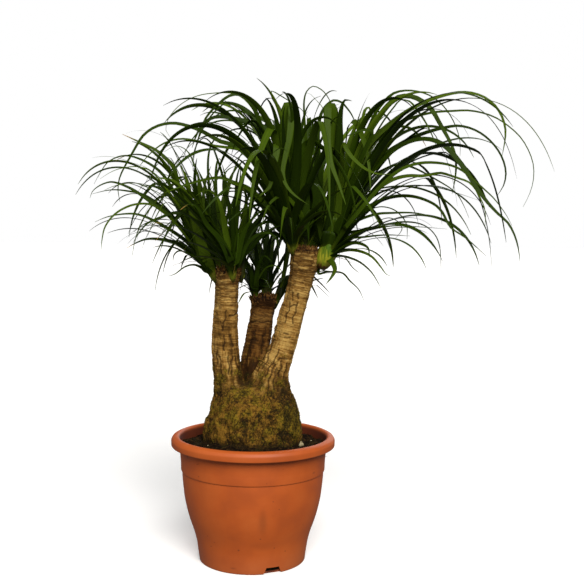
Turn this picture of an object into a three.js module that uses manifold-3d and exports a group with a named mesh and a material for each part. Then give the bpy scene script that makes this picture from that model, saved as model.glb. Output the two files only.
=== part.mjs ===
// A ponytail palm: one swollen foot with three stems, ten leafy shoots, peat and a round plastic pot.
// Millimetres, +Z up. The origin is on the pot's axis at its underside, and the front faces -Y.

import * as THREE from "three";
import { mergeVertices } from "three/addons/utils/BufferGeometryUtils.js";
import Module from "manifold-3d";

const wasm = await Module();
wasm.setup();

// Pot: the outside from the underside to below the rim, then the rim round to the mouth, as radius and height
const wall = 2.4;
const floorThickness = 3;
const potSides = 32;
const potWall = [
  [70.5, 0], [71.5, 1], [72.4, 9], [74.4, 23], [78, 38], [84.6, 57], [88.5, 71], [91.5, 85],
  [93.3, 99], [95, 119.5], [96.7, 124], [98.4, 150],
];
const potRim = [
  [99, 162], [106.3, 162.5], [107.8, 155.5], [110, 155.5], [110, 162],
  [108, 165.8], [104, 168], [101, 168], [99, 166],
];
// Rows of the outside that the inside follows
const insideRows = [2, 4, 6, 9, 11];
const insideCorner = 2;
const notch = {
  angles: [24, 94, 204, 274],
  below: 1,
  bottom: 26,
  top: 17.5,
  height: 9,
  inner: 66,
  reach: 20,
};

// Soil: its upper side as radius and height, and the waves that roughen it
const soilGap = 0.35;
const soilUpper = [[96.1, 155], [88, 157], [74, 157], [60, 157], [0, 157]];
const soilWaves = [
  { height: 0.9, across: 0.061, back: 0.073, start: 0.9 },
  { height: 0.9, across: 0.061, back: -0.073, start: 1.7 },
  { height: 1.2, across: 0.19, back: -0.13, start: 0 },
  { height: 0.8, across: 0.11, back: 0.23, start: 3.57 },
];

// Trunk: rows of x, y, z and the half widths across and along the view
const trunkGap = 0.35;
const barkRidges = {
  deep: { count: 5, start: 1.7, slant: 3 },
  fine: { count: 11, start: 0, slant: -2 },
};
const foot = {
  sides: 32,
  steps: 12,
  relief: { deep: 0.028, fine: 0.018, rings: 0.5 },
  rows: [
    [-0.4, 0, 95, 26, 26], [0.6, 0, 115, 50, 48], [1.1, 0, 140, 62, 57], [1.3, 1, 167, 66.4, 59],
    [0.1, 2, 198, 61.7, 55], [-1.9, 3, 216, 53.5, 47], [-3.4, 4, 228, 42, 38], [-3.4, 5, 236, 22, 24],
  ],
};
const stems = [
  {
    sides: 14,
    steps: 15,
    relief: { deep: 0.065, fine: 0.03, rings: 0.8 },
    rows: [
      [-27.4, 0, 198, 27, 27], [-32.4, 0, 228, 21.5, 21.5], [-34.4, 0, 248, 19.4, 19.4],
      [-36.9, -1, 273, 18.4, 18.2], [-38.4, -2, 309, 17.2, 17], [-37.4, -3, 340, 16, 16],
      [-36.9, -3, 366, 15.4, 15.4], [-37.7, -3, 380, 17.2, 17], [-38, -3, 390, 15.8, 15.6],
    ],
  },
  {
    sides: 14,
    steps: 17,
    relief: { deep: 0.065, fine: 0.03, rings: 0.8 },
    rows: [
      [14.6, -2, 198, 32, 31], [19.6, -5, 227, 28, 27], [24.1, -6, 250, 22.3, 22], [31.6, -6, 268, 19.2, 19],
      [39.1, -6, 288, 17.2, 17], [48.6, -6, 326, 16.9, 16.8], [56.6, -5, 354, 15.6, 15.6],
      [62.6, -4, 381, 16, 16], [66.1, -4, 400, 18.2, 18], [67.4, -4, 418, 16.8, 16.6],
    ],
  },
  {
    sides: 14,
    steps: 12,
    relief: { deep: 0.065, fine: 0.03, rings: 0.8 },
    rows: [
      [-1.4, 20, 198, 26, 26], [-1.9, 27, 228, 21, 21], [-0.4, 32, 262, 18.6, 18.4],
      [4.6, 38, 291, 17.5, 17.4], [9.1, 43, 326, 16.4, 16.4], [11.6, 45.5, 342, 18, 17.6],
      [12.6, 46, 351, 16.2, 16],
    ],
  },
];

// How a leaf grows. Age runs from 0 for a crown's youngest leaf to 1 for its oldest; angles are in degrees.
const growth = {
  steps: 24,
  attempts: 40,
  goldenPart: 0.618034,
  clearOfWall: 1,
  freeSteps: 3,
  start: { height: 8, heightOfYoung: 26, reach: 0.3, reachOfOld: 0.35 },
  width: { from: 0.82, to: 1.08, least: 0.72, more: 0.28, phase: 0.15, phases: 0.7 },
  taper: { power: 0.65, swell: 0.45 },
  rise: { young: 84, power: 1.25, spread: 9 },
  length: { from: 0.8, to: 1.1, least: 0.5, more: 0.62, phase: 0.08, phases: 0.8, power: 0.9 },
  oldAge: { from: 0.6, shrink: 1.3 },
  droop: { from: 4.2, to: 9, young: 0.75, old: 0.25, forLength: 350, atRoot: 0.06, power: 1.2 },
  sway: 1.3,
  twist: 3.2,
  fold: { share: 0.22, from: 0.45, to: 0.75, reach: 0.045, pull: 0.75, steepest: -0.5 },
  aim: { part: 0.92, youth: 0.45, extra: 50, spread: 6 },
};
// What changes each time a leaf meets a wall, a stem, or its low or top height
const remedies = {
  wall: { rise: 5.5, mostRise: 86, length: 0.975, droop: 0.94, sway: 0.85 },
  stem: { rise: 4, mostRise: 84, length: 0.96, droop: 1, sway: 1 },
  low: { rise: 1.5, mostRise: 84, length: 0.955, droop: 1, sway: 1 },
  top: { rise: -1, mostRise: 93, length: 0.98, droop: 1.1, sway: 1 },
};
const turnAway = { part: 0.3, most: 8 };

// How a leaf is drawn: in a few stretches, with a keel below and its edges lifted.
// Where stretches meet at more than the sharp bend, in radians, the leaf gets one stretch more.
const blade = {
  stretch: 90,
  fewest: 3,
  most: 4,
  sharp: 1.3,
  keel: 0.2,
  thinnestKeel: 0.8,
  mostTurn: 0.4,
  turnForKeel: 0.4,
  edgeLift: 0.07,
  rootWidth: 0.35,
};
// The bulb at a shoot's foot, its radius as a part of the shoot's core and its height along the shoot
const bulb = [[0, -14], [0.8, -12], [1, -2], [1.05, 8], [0.85, 22], [0.5, 38], [0, 50]];
const bulbSides = 8;

// Planes between the shoots, each with its normal and a point on it
const overFront = { normal: [0.74, -0.52, 0.42], point: [12.6, -6, 402] };
const overBack = { normal: [0.74, 0.5, 0.45], point: [12.6, 4, 402] };
const underRight = { normal: [-0.42, 0.36, -0.83], point: [47.6, 30, 377] };
const besideLeft = { normal: [0.67, 0.72, -0.2], point: [-8.9, 20.5, 366.5] };
const leftSides = [[overFront, -1], [overBack, -1], [besideLeft, -1]];
const middleSides = [[besideLeft, 1], [underRight, 1]];
const crowns = {
  left: { centre: [-35.4, -2], sides: leftSides },
  middle: { centre: [13.6, 47], sides: middleSides },
  rightFront: { centre: [67.6, -1], sides: [[overFront, 1], [underRight, -1]] },
  rightBack: { centre: [67.6, -1], sides: [[overBack, 1], [underRight, -1]] },
};

// Each shoot keeps to its sector of its crown, in degrees from +X, and between its low and top heights.
// Fall is how many degrees less its oldest leaves rise than its youngest, and arch how strongly leaves droop.
const shoots = [
  {
    name: "shoot_left_outer", crown: "left", sector: [150, 225], aims: [150, 225], foot: [-53.4, -5, 381],
    lean: [-0.42, -0.14, 0.88], core: 9, leaves: 25, length: 205, width: 11.5, fall: 48, arch: 1.3,
    low: 386, top: 585, seed: 11,
  },
  {
    name: "shoot_left_front", crown: "left", sector: [225, 345], aims: [222, 320], foot: [-28.4, -17, 384],
    lean: [0.02, -0.34, 0.94], core: 9, leaves: 21, length: 225, width: 11, fall: 52, arch: 1.2,
    low: 394, top: 578, seed: 12,
  },
  {
    name: "shoot_left_inner", crown: "left", sector: [-15, 62], aims: [0, 60], foot: [-17.4, 3, 384],
    lean: [0.1, 0.1, 0.97], core: 7, leaves: 7, length: 75, width: 8, fall: 60, arch: 1,
    low: 372, top: 520, seed: 13,
  },
  {
    name: "shoot_left_back", crown: "left", sector: [62, 150], aims: [90, 155], foot: [-41.4, 14, 384],
    lean: [-0.3, 0.45, 0.84], core: 9, leaves: 19, length: 245, width: 11, fall: 52, arch: 1.2,
    low: 376, top: 595, seed: 14,
  },
  {
    name: "shoot_middle_outer", crown: "middle", sector: [151, 284], aims: [160, 280], foot: [-0.4, 38, 352],
    lean: [-0.1, -0.04, 0.95], core: 8, leaves: 11, length: 140, width: 9, fall: 60, arch: 1,
    low: 345, top: 475, seed: 15,
  },
  {
    name: "shoot_middle_back", crown: "middle", sector: [43, 151], aims: [50, 145], foot: [13.6, 60, 350],
    lean: [0.02, 0.62, 0.78], core: 8, leaves: 18, length: 240, width: 11, fall: 70, arch: 1,
    low: 345, top: 530, seed: 16,
  },
  {
    name: "shoot_middle_inner", crown: "middle", sector: [-76, 43], aims: [-40, 40], foot: [28.6, 46, 346],
    lean: [0.25, 0.15, 0.9], core: 8, leaves: 11, length: 160, width: 10, fall: 60, arch: 1,
    low: 345, top: 480, seed: 17,
  },
  {
    name: "shoot_right_front", crown: "rightFront", sector: [155, 312], aims: [165, 318],
    foot: [50.6, -12, 421], lean: [-0.2, -0.28, 0.93], core: 12, leaves: 31, length: 265, width: 17,
    fall: 60, arch: 1.15, low: 428, top: 612, seed: 18,
  },
  {
    name: "shoot_right_back", crown: "rightBack", sector: [42, 155], aims: [45, 165], foot: [66.6, 14, 413],
    lean: [0, 0.45, 0.86], core: 10, leaves: 23, length: 300, width: 16, fall: 62, arch: 1,
    low: 415, top: 615, seed: 19,
  },
  {
    name: "shoot_right_outer", crown: "rightFront", sector: [312, 402], aims: [305, 402],
    foot: [91.6, -6, 404], lean: [0.4, -0.12, 0.88], core: 12, leaves: 28, length: 345, width: 17.5,
    fall: 62, arch: 1, low: 392, top: 620, seed: 20,
  },
];

// Middle lines of the stems, which leaves keep clear of
const stemLines = [
  [[-34.4, 0, 235], [-38.4, -2, 300], [-36.4, -3, 350]],
  [[18.6, -6, 240], [38.6, -6, 287], [56.6, -5, 350], [60.6, -4, 372]],
  [[-1.4, 30, 235], [4.6, 38, 291], [9.6, 43, 318]],
];
const stemClearance = 21;

const materials = {
  pot: new THREE.MeshStandardMaterial({ color: 0xb8582a, roughness: 0.5, metalness: 0 }),
  soil: new THREE.MeshStandardMaterial({ color: 0x2a1d13, roughness: 1, metalness: 0 }),
  bark: new THREE.MeshStandardMaterial({ color: 0x8d6c3e, roughness: 0.9, metalness: 0 }),
  leaf: new THREE.MeshStandardMaterial({ color: 0x2f5a1e, roughness: 0.5, metalness: 0 }),
};

const vector = (values) => new THREE.Vector3(...values);
const degrees = Math.PI / 180;
const weld = 1e-4;
const tiny = 1e-3;

// A closed mesh as a solid, with its shared corners joined and its flat triangles left out
function toSolid(geometry) {
  const bare = new THREE.BufferGeometry();
  bare.setAttribute("position", geometry.getAttribute("position").clone());
  bare.setIndex(geometry.getIndex() ? geometry.getIndex().clone() : null);
  const joined = mergeVertices(bare, weld);
  const index = joined.getIndex().array;
  const corners = [];
  for (let i = 0; i < index.length; i += 3) {
    const [a, b, c] = [index[i], index[i + 1], index[i + 2]];
    if (a !== b && b !== c && c !== a) {
      corners.push(a, b, c);
    }
  }
  const vertProperties = new Float32Array(joined.getAttribute("position").array);
  const triVerts = new Uint32Array(corners);
  return new wasm.Manifold(new wasm.Mesh({ numProp: 3, vertProperties, triVerts }));
}

function toMesh(solid, name, material) {
  const { vertProperties, triVerts } = solid.getMesh();
  const geometry = new THREE.BufferGeometry();
  geometry.setAttribute("position", new THREE.BufferAttribute(new Float32Array(vertProperties), 3));
  geometry.setIndex(new THREE.BufferAttribute(new Uint32Array(triVerts), 1));
  geometry.computeVertexNormals();
  const mesh = new THREE.Mesh(geometry, material);
  mesh.name = name;
  return mesh;
}

// Joins the corners of an upright unit tube or cone, then moves each to place(angle, height, radius)
function reshape(geometry, place) {
  geometry.deleteAttribute("normal");
  geometry.deleteAttribute("uv");
  const joined = mergeVertices(geometry, weld);
  const position = joined.getAttribute("position");
  for (let i = 0; i < position.count; i += 1) {
    const [x, y, z] = [position.getX(i), position.getY(i), position.getZ(i)];
    const moved = place(Math.atan2(x, z), y + 0.5, Math.hypot(x, z));
    position.setXYZ(i, moved.x, moved.y, moved.z);
  }
  return joined;
}

// Turns an outline of radius and height around the vertical axis
function turned(outline) {
  const points = outline.map(([radius, height]) => new THREE.Vector2(radius, height));
  return new THREE.LatheGeometry(points, potSides).rotateX(Math.PI / 2);
}

const potInside = insideRows.map((row) => [potWall[row][0] - wall, potWall[row][1]]);
const potFloorEdge = [potWall[0][0] - wall - insideCorner, floorThickness];

function makePot() {
  const outline = [
    [0, 0], ...potWall, ...potRim, ...potInside.toReversed(), potFloorEdge, [0, floorThickness],
  ];
  let pot = toSolid(turned(outline));
  for (const angle of notch.angles) {
    const gate = new THREE.Shape([
      new THREE.Vector2(-notch.bottom / 2, -notch.below),
      new THREE.Vector2(notch.bottom / 2, -notch.below),
      new THREE.Vector2(notch.top / 2, notch.height),
      new THREE.Vector2(-notch.top / 2, notch.height),
    ]);
    const cutter = new THREE.ExtrudeGeometry(gate, { depth: notch.reach, bevelEnabled: false });
    cutter.translate(0, 0, notch.inner).rotateX(Math.PI / 2).rotateZ(angle * degrees);
    pot = pot.subtract(toSolid(cutter));
  }
  return pot;
}

function soilBump(x, y) {
  return soilWaves.reduce(
    (sum, wave) => sum + wave.height * Math.sin(wave.across * x + wave.back * y + wave.start),
    0,
  );
}

function makeSoil(trunkHole) {
  const outline = [
    [0, floorThickness + soilGap], [potFloorEdge[0] - soilGap, floorThickness + soilGap],
    ...potInside.map(([radius, height]) => [radius - soilGap, height]), ...soilUpper,
  ];
  const upperHeight = soilUpper[0][1] - tiny;
  const geometry = turned(outline);
  const position = geometry.getAttribute("position");
  for (let i = 0; i < position.count; i += 1) {
    if (position.getZ(i) > upperHeight) {
      const bump = soilBump(position.getX(i), position.getY(i));
      position.setZ(i, position.getZ(i) + bump);
    }
  }
  return toSolid(geometry).subtract(trunkHole);
}

// Woody ridges run along the bark and ring scars run around it
function ridge({ count, start, slant }, angle, height) {
  return Math.sin(count * angle + start + slant * height);
}

function makeTrunkPart(part, gap) {
  const path = new THREE.CatmullRomCurve3(part.rows.map(([x, y, z]) => new THREE.Vector3(x, y, z)));
  const girth = new THREE.CatmullRomCurve3(part.rows.map((row) => new THREE.Vector3(row[3], row[4], 0)));
  const tube = new THREE.CylinderGeometry(1, 1, 1, part.sides, part.steps);
  return toSolid(reshape(tube, (angle, height, radius) => {
    const middle = path.getPoint(height);
    const along = path.getTangent(height);
    const across = new THREE.Vector3(1, 0, 0).addScaledVector(along, -along.x).normalize();
    const forward = across.clone().cross(along);
    const half = girth.getPoint(height);
    const ring = part.relief.rings * (Math.round(height * part.steps) % 2);
    const deep = part.relief.deep * ridge(barkRidges.deep, angle, height);
    const fine = part.relief.fine * ridge(barkRidges.fine, angle, height);
    const relief = 1 + deep + fine;
    const isBottom = height < tiny;
    const isTop = height > 1 - tiny;
    return middle
      .addScaledVector(across, radius * Math.sin(angle) * (half.x * relief + ring + gap))
      .addScaledVector(forward, radius * Math.cos(angle) * (half.y * relief + ring + gap))
      .addScaledVector(along, isBottom ? -gap : isTop ? gap : 0);
  }));
}

function makeTrunk(gap) {
  return stems.map((stem) => makeTrunkPart(stem, gap))
    .reduce((trunk, stem) => trunk.add(stem), makeTrunkPart(foot, gap));
}

// The same numbers come from the same seed each time
function makeDraw(seed) {
  let state = seed;
  return (low, high) => {
    state = (state * 1664525 + 1013904223) % 2 ** 32;
    return low + (high - low) * state / 2 ** 32;
  };
}

function wallsOf(shoot) {
  const crown = crowns[shoot.crown];
  const walls = crown.sides.map(([plane, side]) => ({
    normal: vector(plane.normal).normalize().multiplyScalar(side),
    point: vector(plane.point),
  }));
  const [first, last] = shoot.sector.map((value) => value * degrees);
  const middle = new THREE.Vector3(crown.centre[0], crown.centre[1], 0);
  walls.push({ normal: new THREE.Vector3(-Math.sin(first), Math.cos(first), 0), point: middle });
  walls.push({ normal: new THREE.Vector3(Math.sin(last), -Math.cos(last), 0), point: middle });
  return walls;
}

function nearStem(point, half) {
  const closest = new THREE.Vector3();
  return stemLines.some((line) => line.slice(1).some((end, i) => {
    const stretch = new THREE.Line3(vector(line[i]), vector(end));
    stretch.closestPointToPoint(point, true, closest);
    return closest.distanceTo(point) < stemClearance + half;
  }));
}

// Half the blade's width at a part t of its length
function halfWidth(width, t) {
  return width / 2 * (1 - t) ** growth.taper.power * (1 + growth.taper.swell * t);
}

// How much a leaf bends down at a part t of its length
function pullAt(leaf, t, along) {
  const { droop, fold } = growth;
  const weight = leaf.droop * leaf.length / droop.forLength;
  const bend = weight * (droop.atRoot + t ** droop.power) / growth.steps;
  const folds = leaf.fold < fold.share && Math.abs(t - leaf.foldAt) < fold.reach && along.z > fold.steepest;
  return folds ? bend + fold.pull : bend;
}

// Grows one leaf and says what it met: nothing, a wall, a stem, or the low or top height
function bendLeaf(shoot, walls, leaf) {
  const turn = leaf.turn * degrees;
  const rise = leaf.rise * degrees;
  const around = new THREE.Vector3(Math.cos(turn), Math.sin(turn), 0);
  const up = new THREE.Vector3(0, 0, 1);
  const along = around.clone().multiplyScalar(Math.cos(rise)).addScaledVector(up, Math.sin(rise));
  const face = around.clone().multiplyScalar(-Math.sin(rise)).addScaledVector(up, Math.cos(rise));
  const side = along.clone().cross(face);
  const { start, steps } = growth;
  const point = vector(shoot.foot)
    .addScaledVector(vector(shoot.lean).normalize(), start.height + start.heightOfYoung * (1 - leaf.age))
    .addScaledVector(around, shoot.core * (start.reach + start.reachOfOld * leaf.age));
  const rings = [];
  for (let step = 0; step <= steps; step += 1) {
    const t = step / steps;
    const half = halfWidth(leaf.width, t);
    if (step) {
      point.addScaledVector(along, leaf.length / steps);
    }
    for (const { normal, point: onWall } of walls) {
      if (normal.dot(point.clone().sub(onWall)) < half + growth.clearOfWall) {
        return { met: "wall", normal };
      }
    }
    if (step > growth.freeSteps && nearStem(point, half)) {
      return { met: "stem" };
    }
    if (point.z < shoot.low) {
      return { met: "low" };
    }
    if (point.z > shoot.top) {
      return { met: "top" };
    }
    rings.push({ point: point.clone(), side: side.clone(), face: face.clone(), half, length: leaf.length });
    const pull = pullAt(leaf, t, along);
    along.addScaledVector(up, -pull).addScaledVector(side, leaf.sway * t / steps).normalize();
    face.addScaledVector(along, -face.dot(along)).normalize();
    side.crossVectors(along, face);
    const twist = leaf.twist * t / steps;
    face.multiplyScalar(Math.cos(twist)).addScaledVector(side, Math.sin(twist)).normalize();
    side.crossVectors(along, face);
  }
  return { met: "nothing", rings };
}

// A wave over a leaf's age, between a least value and that value with more
function overAge({ least, more, phase, phases, power = 1 }, age) {
  return least + more * Math.sin(Math.PI * (phase + phases * age)) ** power;
}

// Draws a leaf's traits; age, number and the draws decide them
function drawLeaf(shoot, age, draw) {
  const { width, rise, length, oldAge, droop, fold } = growth;
  const shrunk = 1 - oldAge.shrink * Math.max(0, age - oldAge.from);
  return {
    age,
    width: shoot.width * draw(width.from, width.to) * overAge(width, age),
    rise: rise.young - shoot.fall * age ** rise.power + draw(-rise.spread, rise.spread),
    length: shoot.length * draw(length.from, length.to) * overAge(length, age) * shrunk,
    droop: shoot.arch * draw(droop.from, droop.to) * (droop.young + droop.old * age),
    sway: draw(-growth.sway, growth.sway),
    twist: draw(-growth.twist, growth.twist),
    fold: draw(0, 1),
    foldAt: draw(fold.from, fold.to),
  };
}

// Grows a leaf, changing its traits until it keeps to its shoot's space
function growLeaf(shoot, number, walls, draw) {
  const age = 1 - number / (shoot.leaves - 1);
  const leaf = drawLeaf(shoot, age, draw);
  const [first, last] = shoot.aims;
  const spread = (last - first) / 2;
  const { part, youth, extra, spread: stray } = growth.aim;
  const reach = age > youth ? spread * part : spread + extra * (youth - age) / youth;
  const place = (number * growth.goldenPart) % 1 * 2 - 1;
  leaf.turn = first + spread + place * reach + draw(-stray, stray);
  for (let attempt = 0; attempt < growth.attempts; attempt += 1) {
    const { met, rings, normal } = bendLeaf(shoot, walls, leaf);
    if (met === "nothing") {
      return rings;
    }
    const remedy = remedies[met];
    leaf.rise = Math.min(remedy.mostRise, leaf.rise + remedy.rise * (normal ? normal.z : 1));
    leaf.length *= remedy.length;
    leaf.droop *= remedy.droop;
    leaf.sway *= remedy.sway;
    if (normal) {
      const away = Math.atan2(normal.y, normal.x) / degrees - leaf.turn;
      const short = THREE.MathUtils.euclideanModulo(away + 180, 360) - 180;
      leaf.turn += THREE.MathUtils.clamp(short * turnAway.part, -turnAway.most, turnAway.most);
    }
  }
  return null;
}

// A leaf's rings between a number of stretches
function pickRings(rings, stretches) {
  const numbers = Array.from({ length: stretches + 1 }, (_, i) => Math.round(i * growth.steps / stretches));
  return numbers.map((number) => rings[number]);
}

// The bend, in radians, at each ring between a leaf's stretches
function bendsOf(drawn) {
  const ways = drawn.slice(1).map((ring, i) => ring.point.clone().sub(drawn[i].point));
  return [0, ...ways.slice(1).map((way, i) => way.angleTo(ways[i])), 0];
}

// The rings that a leaf is drawn with: square to the stretches that meet there, turned only a
// little from each to the next, and with a deeper keel at a bend, so that no faces cross
function calmRings(rings) {
  const wanted = Math.ceil(rings[0].length / blade.stretch);
  let stretches = THREE.MathUtils.clamp(wanted, blade.fewest, blade.most);
  if (Math.max(...bendsOf(pickRings(rings, stretches))) > blade.sharp) {
    stretches += 1;
  }
  const drawn = pickRings(rings, stretches);
  const bends = bendsOf(drawn);
  const calm = [];
  drawn.forEach((ring, stretch) => {
    const before = drawn[Math.max(stretch - 1, 0)];
    const after = drawn[Math.min(stretch + 1, stretches)];
    const along = after.point.clone().sub(before.point).normalize();
    const side = ring.side.clone().projectOnPlane(along).normalize();
    const half = ring.half * (stretch ? 1 : blade.rootWidth);
    const keel = Math.max(blade.thinnestKeel, blade.keel * half) / Math.cos(bends[stretch] / 2);
    if (stretch) {
      const level = calm[stretch - 1].side.clone().projectOnPlane(along).normalize();
      const turn = Math.atan2(level.clone().cross(side).dot(along), level.dot(side));
      const most = Math.min(blade.mostTurn, blade.turnForKeel * keel / Math.max(half, tiny));
      side.copy(level.applyAxisAngle(along, THREE.MathUtils.clamp(turn, -most, most)));
    }
    calm.push({ point: ring.point, side, face: side.clone().cross(along), half, keel });
  });
  return calm;
}

// A leaf is a long cone of three sides: two edges and a keel below
function makeBlade(rings) {
  const calm = calmRings(rings);
  const stretches = calm.length - 1;
  const cone = new THREE.ConeGeometry(1, 1, 3, stretches);
  return toSolid(reshape(cone, (angle, height, radius) => {
    const ring = calm[Math.round(height * stretches)];
    if (radius < tiny) {
      return ring.point.clone();
    }
    const isKeel = Math.abs(angle) < Math.PI / 6;
    return ring.point.clone()
      .addScaledVector(ring.side, isKeel ? 0 : -Math.sign(angle) * ring.half)
      .addScaledVector(ring.face, isKeel ? -ring.keel : blade.edgeLift * ring.half);
  }));
}

// The bulb that a shoot's leaves stand out of, sunk into the top of its stem
function makeCore(shoot) {
  const points = bulb.map(([radius, height]) => new THREE.Vector2(radius * shoot.core, height));
  const upright = new THREE.Vector3(0, 1, 0);
  const turn = new THREE.Quaternion().setFromUnitVectors(upright, vector(shoot.lean).normalize());
  const core = new THREE.LatheGeometry(points, bulbSides).applyQuaternion(turn);
  return toSolid(core.translate(...shoot.foot));
}

function biggest(solid) {
  return solid.decompose().reduce((best, piece) => (piece.volume() > best.volume() ? piece : best));
}

function makeShoot(shoot, trunkHole) {
  const walls = wallsOf(shoot);
  const draw = makeDraw(shoot.seed);
  let solid = makeCore(shoot);
  for (let number = 0; number < shoot.leaves; number += 1) {
    const rings = growLeaf(shoot, number, walls, draw);
    if (rings) {
      solid = solid.add(makeBlade(rings));
    }
  }
  return biggest(solid.subtract(trunkHole));
}

const trunkHole = makeTrunk(trunkGap);
const palm = new THREE.Group();
palm.add(toMesh(makePot(), "pot", materials.pot));
palm.add(toMesh(makeSoil(trunkHole), "soil", materials.soil));
palm.add(toMesh(makeTrunk(0), "trunk", materials.bark));
for (const shoot of shoots) {
  palm.add(toMesh(makeShoot(shoot, trunkHole), shoot.name, materials.leaf));
}

export default palm;
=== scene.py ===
import math

import bmesh
import bpy
import numpy as np
from mathutils import Matrix, Vector


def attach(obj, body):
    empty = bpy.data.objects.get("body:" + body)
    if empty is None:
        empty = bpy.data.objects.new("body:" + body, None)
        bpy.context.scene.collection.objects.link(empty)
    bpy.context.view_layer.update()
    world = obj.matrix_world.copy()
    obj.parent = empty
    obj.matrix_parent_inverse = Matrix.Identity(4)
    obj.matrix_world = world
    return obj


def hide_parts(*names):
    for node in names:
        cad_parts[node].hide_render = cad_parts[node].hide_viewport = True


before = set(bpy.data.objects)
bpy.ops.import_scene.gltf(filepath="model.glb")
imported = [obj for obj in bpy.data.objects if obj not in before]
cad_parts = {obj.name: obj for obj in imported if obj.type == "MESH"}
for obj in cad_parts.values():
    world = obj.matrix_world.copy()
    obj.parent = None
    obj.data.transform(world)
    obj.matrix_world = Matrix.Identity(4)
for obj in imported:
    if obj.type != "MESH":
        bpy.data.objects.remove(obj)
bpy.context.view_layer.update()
scene = bpy.context.scene
mm = 0.001
print("frame loaded")


# Helpers for nodes, colours and meshes

# Settings that many nodes share
nodeFamilies = ("ShaderNode", "GeometryNode", "FunctionNode", "Node")
multiply, multiplyAdd = {"operation": "MULTIPLY"}, {"operation": "MULTIPLY_ADD"}
add, subtract, least = {"operation": "ADD"}, {"operation": "SUBTRACT"}, {"operation": "MINIMUM"}
scaled = {"operation": "SCALE"}
eased = {"interpolation_type": "SMOOTHSTEP"}
ofColours = {"data_type": "RGBA"}
ofVectors = {"data_type": "FLOAT_VECTOR"}


def toLinear(hexColour):
    # an sRGB hex colour as linear red, green, blue and a full alpha
    channels = [int(hexColour[i:i + 2], 16) / 255 for i in (1, 3, 5)]
    linear = [c / 12.92 if c <= 0.04045 else ((c + 0.055) / 1.055) ** 2.4 for c in channels]
    return (*linear, 1.0)


def addNode(tree, kind, settings=None, inputs=(), output=None):
    # adds one node with its settings, fills or links its inputs in order or by name, and returns an output;
    # the kind goes without its family's name, and the stops of a ramp are pairs of place and colour
    families = [family for family in nodeFamilies if hasattr(bpy.types, family + kind)]
    node = tree.nodes.new(families[0] + kind)
    for name, value in (settings or {}).items():
        if name == "stops":
            while len(node.color_ramp.elements) < len(value):
                node.color_ramp.elements.new(0.5)
            for element, (place, colour) in zip(node.color_ramp.elements, value):
                element.position = place
                element.color = toLinear(colour)
        else:
            setattr(node, name, value)
    sockets = [s for s in node.inputs if s.enabled]
    if isinstance(inputs, dict):
        sockets = [next(s for s in sockets if name in (s.name, s.identifier)) for name in inputs]
        inputs = inputs.values()
    for socket, value in zip(sockets, inputs):
        if isinstance(value, (bpy.types.NodeSocket, list)):
            for source in value if isinstance(value, list) else [value]:
                tree.links.new(source, socket)
        else:
            isColour = isinstance(value, str) and value.startswith("#")
            socket.default_value = toLinear(value) if isColour else value
    shown = [s for s in node.outputs if s.enabled and output in (None, s.name)]
    return shown[0] if shown else node


def newMaterial(name):
    # an empty node material
    material = bpy.data.materials.new(name)
    material.use_nodes = True
    material.node_tree.nodes.clear()
    return material, material.node_tree


def finishMaterial(tree, inputs):
    # ends the tree; what is the same all over is set on the shader's own sockets
    skin = addNode(tree, "BsdfPrincipled", None, inputs)
    addNode(tree, "OutputMaterial", None, {"Surface": skin})


def newObject(name, mesh):
    piece = bpy.data.objects.new(name, mesh)
    scene.collection.objects.link(piece)
    return piece


def meshFrom(name, points, faces, edges=()):
    mesh = bpy.data.meshes.new(name)
    mesh.from_pydata([tuple(p) for p in points], list(edges), [tuple(f) for f in faces])
    mesh.update()
    return mesh


def bands(rings, sides):
    # the four-sided faces of a tube whose points run ring by ring
    return [(ring * sides + k, ring * sides + (k + 1) % sides, (ring + 1) * sides + (k + 1) % sides,
             (ring + 1) * sides + k) for ring in range(rings - 1) for k in range(sides)]


def setAttribute(mesh, name, values, kind="FLOAT"):
    attribute = mesh.attributes.new(name, kind, "POINT")
    field = "vector" if kind == "FLOAT_VECTOR" else "value"
    attribute.data.foreach_set(field, np.asarray(values, dtype=np.float32).ravel())


def workIn(piece):
    # works the piece's modifiers into its mesh
    graph = bpy.context.evaluated_depsgraph_get()
    mesh = bpy.data.meshes.new_from_object(piece.evaluated_get(graph), depsgraph=graph)
    mesh.name = piece.name
    piece.modifiers.clear()
    piece.data = mesh


def runTree(piece, tree, values):
    # works a Geometry Nodes tree into the piece's mesh; inputs are set by identifier before it is evaluated
    modifier = piece.modifiers.new(tree.name, "NODES")
    modifier.node_group = tree
    sockets = {s.name: s.identifier for s in tree.interface.items_tree if s.item_type == "SOCKET"}
    for name, value in values.items():
        modifier[sockets[name]] = value
    workIn(piece)
    return piece


def newTree(name, inputs):
    # a Geometry Nodes tree with a Geometry input and output and the named inputs, and those inputs' sockets
    tree = bpy.data.node_groups.new(name, "GeometryNodeTree")
    tree.interface.new_socket("Geometry", in_out="INPUT", socket_type="NodeSocketGeometry")
    tree.interface.new_socket("Geometry", in_out="OUTPUT", socket_type="NodeSocketGeometry")
    kinds = {float: "NodeSocketFloat", int: "NodeSocketInt", type(None): "NodeSocketMaterial"}
    for label, value in inputs.items():
        socket = tree.interface.new_socket(label, in_out="INPUT", socket_type=kinds[type(value)])
        if value is not None:
            socket.default_value = value
    return tree, tree.nodes.new("NodeGroupInput").outputs


def finishTree(tree, geometry, material):
    # realizes the instances, gives the material and ends the tree
    real = addNode(tree, "RealizeInstances", None, (geometry,))
    done = addNode(tree, "SetMaterial", None, {"Geometry": real, "Material": material})
    addNode(tree, "GroupOutput", None, (done,))


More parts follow.
